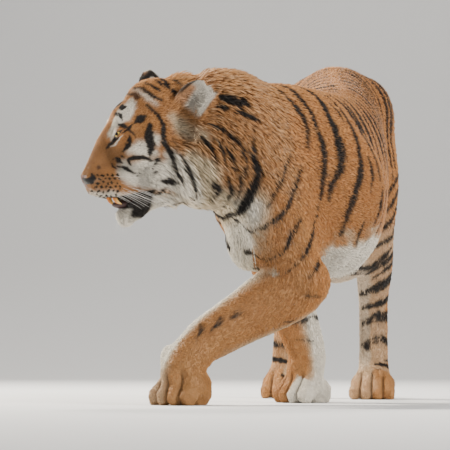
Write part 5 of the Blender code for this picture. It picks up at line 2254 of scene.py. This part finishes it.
@dataclass(frozen=True)
class Tongue:
    """The tongue between the jaws that closes the view through the mouth, coloured near black as painted
    shade; a real tongue is pink.
    """

    middle: tuple = (-0.152, 0.0, -0.066)
    half: tuple = (0.052, 0.031, 0.017)

    def build(self) -> bpy.types.Object:
        """Makes the tongue as a smooth flattened ball.

        Returns:
            The tongue's object.
        """
        shape = bmesh.new()
        bmesh.ops.create_icosphere(shape, subdivisions=4, radius=1.0)
        for vertex in shape.verts:
            forward, left, up = (c * h for c, h in zip(vertex.co, self.half))
            dip = 0.004 * math.exp(-((left / 0.008) ** 2)) if up > 0 else 0.0
            lift = 0.1 * (forward + 0.05)
            vertex.co = HEAD.at(self.middle[0] + forward, left, self.middle[2] + up - dip - lift)
        mesh = bpy.data.meshes.new("tongue")
        shape.to_mesh(mesh)
        shape.free()
        mesh.polygons.foreach_set("use_smooth", np.ones(len(mesh.polygons), bool))
        # painted shade: near black for the shade inside the mouth; a real tongue is pink
        mesh.materials.append(PlainFinish("tongue", (0.04, 0.015, 0.014), 0.55).material())
        return put_in_scene("tongue", mesh)


@dataclass
class Whiskers:
    """Long stiff hairs from the pads of the muzzle and over the eyes."""

    rows: int = 5
    columns: int = 6

    def lines(self) -> list[tuple[list[np.ndarray], float]]:
        """The points of each whisker and its thickness at the root."""
        rng = np.random.default_rng(9)
        found = []
        for side in (1, -1):
            for row in range(self.rows):
                for column in range(self.columns):
                    back = 0.042 + 0.0125 * column + 0.004 * row
                    up = 0.006 - 0.01 * row
                    root = np.array((-back, side * (0.04 + 0.16 * (back - 0.045)), up))
                    length = (0.09 + 0.019 * column) * rng.uniform(0.8, 1.15)
                    down = -0.06 - 0.08 * row + rng.uniform(-0.07, 0.07)
                    out = np.array((-0.85, side * (0.46 + rng.uniform(-0.06, 0.12)), down))
                    found.append((self.bent(root, out, length, -0.2 + rng.uniform(-0.08, 0.08)), 0.00075))
            for k in range(4):
                root = np.array((-0.112 - 0.006 * k, side * (0.042 + 0.004 * k), 0.165 + 0.004 * k))
                out = np.array((0.3 - 0.25 * k, side * 0.75, 0.62))
                found.append((self.bent(root, out, 0.062 * rng.uniform(0.8, 1.1), -0.2), 0.00045))
            for k in range(5):
                root = np.array((-0.118 - 0.005 * k, side * (0.006 + 0.005 * k), -0.128))
                out = np.array((0.25 - 0.15 * k, side * 0.1, -0.9))
                found.append((self.bent(root, out, 0.03 * rng.uniform(0.8, 1.2), 0.0), 0.0004))
        return found

    def bent(self, root: np.ndarray, out: np.ndarray, length: float, sag: float) -> list[np.ndarray]:
        """Points along a hair that leaves its root outward and sags."""
        out = unit(out)
        points = []
        for t in np.linspace(-0.04, 1.0, 12):
            local = root + out * length * t + np.array((0, 0, sag)) * length * max(t, 0) ** 2 * 0.5
            points.append(HEAD.at(*local))
        return points

    def build(self) -> bpy.types.Object:
        """Makes all the whiskers as one mesh of thin tapering tubes.

        Returns:
            The whiskers' object.
        """
        curve = bpy.data.curves.new("whiskers", "CURVE")
        curve.dimensions = "3D"
        for points, thick in self.lines():
            spline = curve.splines.new("POLY")
            spline.points.add(len(points) - 1)
            for k, point in enumerate(points):
                spline.points[k].co = (*point, 1.0)
                spline.points[k].radius = thick * (1.0 - 0.85 * k / (len(points) - 1))
        thing = bpy.data.objects.new("whiskers", curve)
        bpy.context.scene.collection.objects.link(thing)
        tree = Tree("whisker_tubes", (("Sides", "NodeSocketInt", 5), ("Finish", "NodeSocketMaterial", None)))
        start = tree.start.outputs
        round_of = {"Resolution": start["Sides"], "Radius": 1.0}
        ring = tree.add("GeometryNodeCurvePrimitiveCircle", round_of, mode="RADIUS")
        thick = tree.add("GeometryNodeInputRadius").outputs[0]
        tube = tree.add(
            "GeometryNodeCurveToMesh",
            {"Curve": start["Geometry"], "Profile Curve": ring.outputs[0], "Scale": thick, "Fill Caps": True},
        )
        real = tree.add("GeometryNodeRealizeInstances", {"Geometry": tube.outputs[0]})
        done = tree.add("GeometryNodeSetMaterial", {"Geometry": real.outputs[0], "Material": start["Finish"]})
        tree.tree.links.new(done.outputs[0], tree.end.inputs[0])
        nodes = thing.modifiers.new("tubes", "NODES")
        nodes.node_group = tree.tree
        finish = PlainFinish("whisker", (0.86, 0.84, 0.8), 0.4).material()
        for item in tree.tree.interface.items_tree:
            if item.in_out == "INPUT" and item.name == "Finish":
                nodes[item.identifier] = finish
        graph = bpy.context.evaluated_depsgraph_get()
        mesh = bpy.data.meshes.new_from_object(thing.evaluated_get(graph))
        bpy.data.objects.remove(thing)
        mesh.name = "whiskers"
        return put_in_scene("whiskers", mesh)


# ---------------------------------------------------------------- the studio


@dataclass
class Studio:
    """A pale floor that curves up behind, soft lights, and the camera."""

    azimuth: float = 22.0
    distance: float = 11.0
    height: float = 0.2
    aim: float = 0.537
    across: float = 1.35

    def build(self) -> None:
        """Lays the floor, hangs the lights and places the camera."""
        self.floor()
        self.lights()
        self.camera()

    def directions(self) -> tuple[np.ndarray, np.ndarray]:
        """The camera's right and the level way it looks."""
        angle = math.radians(self.azimuth)
        right = np.array((math.cos(angle), math.sin(angle), 0.0))
        return right, np.array((-right[1], right[0], 0.0))

    def floor(self) -> None:
        """A wide sheet, level under the tiger and rising far behind it."""
        right, away = self.directions()
        flat, bend, top = 6.0, 2.5, 9.0
        turns = np.linspace(0, math.pi / 2, 16)
        profile = [(-14.0, 0.0)]
        profile += [(flat + bend * math.sin(turn), bend - bend * math.cos(turn)) for turn in turns]
        profile += [(flat + bend, top)]
        shape = bmesh.new()
        rows = []
        for depth, rise in profile:
            place = away * depth + np.array((0, 0, rise))
            rows.append([shape.verts.new(right * across + place) for across in (-16.0, 16.0)])
        for near, far in zip(rows, rows[1:]):
            shape.faces.new((near[0], near[1], far[1], far[0]))
        mesh = bpy.data.meshes.new("studio_floor")
        shape.to_mesh(mesh)
        shape.free()
        mesh.polygons.foreach_set("use_smooth", np.ones(len(mesh.polygons), bool))
        mesh.materials.append(PlainFinish("studio_floor", (0.62, 0.63, 0.65), 0.85, 8.0).material())
        put_in_scene("studio_floor", mesh)

    def lights(self) -> None:
        """A broad key from behind on the left, a wide soft fill from the front, and a pale surround."""
        right, away = self.directions()
        up = np.array((0, 0, 1.0))
        target = Vector((0, 0, 0.55))
        for name, place, size, power, colour in (
            ("key", -right * 4.2 + away * 1.4 + up * 3.8, 1.0, 1000, (1.0, 0.92, 0.78)),
            ("rim", -right * 0.6 + away * 3.4 + up * 4.4, 1.2, 340, (1.0, 0.93, 0.82)),
            ("fill", right * 5.0 - away * 4.4 + up * 3.4, 1.8, 680, (1.0, 0.93, 0.84)),
        ):
            light = bpy.data.lights.new(name, "AREA")
            light.size = size
            light.energy = power
            light.color = colour
            thing = bpy.data.objects.new(name, light)
            thing.location = place
            thing.rotation_mode = "QUATERNION"
            thing.rotation_quaternion = (target - Vector(place)).to_track_quat("-Z", "Y")
            bpy.context.scene.collection.objects.link(thing)
        world = bpy.data.worlds.new("surround")
        world.use_nodes = True
        world.node_tree.nodes["Background"].inputs["Color"].default_value = (0.8, 0.84, 0.9, 1)
        world.node_tree.nodes["Background"].inputs["Strength"].default_value = 0.38
        bpy.context.scene.world = world

    def camera(self) -> None:
        """A long lens, level with the tiger's knees."""
        _, away = self.directions()
        shift = Vector(SHIFT)
        lens = bpy.data.cameras.new("camera")
        lens.sensor_width = 36.0
        lens.lens = 36.0 / self.across * self.distance
        lens.clip_end = 100.0
        thing = bpy.data.objects.new("camera", lens)
        place = Vector((0, 0, self.height)) - Vector(away) * self.distance + shift
        thing.location = place
        thing.rotation_mode = "QUATERNION"
        thing.rotation_quaternion = (Vector((0, 0, self.aim)) + shift - place).to_track_quat("-Z", "Y")
        bpy.context.scene.collection.objects.link(thing)
        bpy.context.scene.camera = thing


def main() -> None:
    """Builds the skin, the coat, the eyes, the teeth and the whiskers, then the studio."""
    skin = Skin()
    thing = skin.build()
    log.info("skin: %d triangles", len(thing.data.polygons))
    pelt = Pelt(skin)
    pelt.prepare()
    pieces = pelt.grow()
    skin.dress()
    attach(thing, "root")
    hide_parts(*[region.value for region in REGIONS])
    for piece in pieces:
        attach(piece, "root")
    for side, node in ((1, "eye_left"), (-1, "eye_right")):
        eye = Eye(side).build()
        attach(eye, "root")
        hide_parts(node)
    for tooth in TEETH:
        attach(tooth.build(), "root")
    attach(Tongue().build(), "root")
    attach(Whiskers().build(), "root")
    Studio().build()
    shown = [o for o in bpy.context.scene.objects if o.type == "MESH" and not o.hide_render]
    log.info("all pieces: %d faces", sum(len(piece.data.polygons) for piece in shown))


if __name__ == "__main__":
    logging.basicConfig(level=logging.INFO, format="%(message)s")
    main()
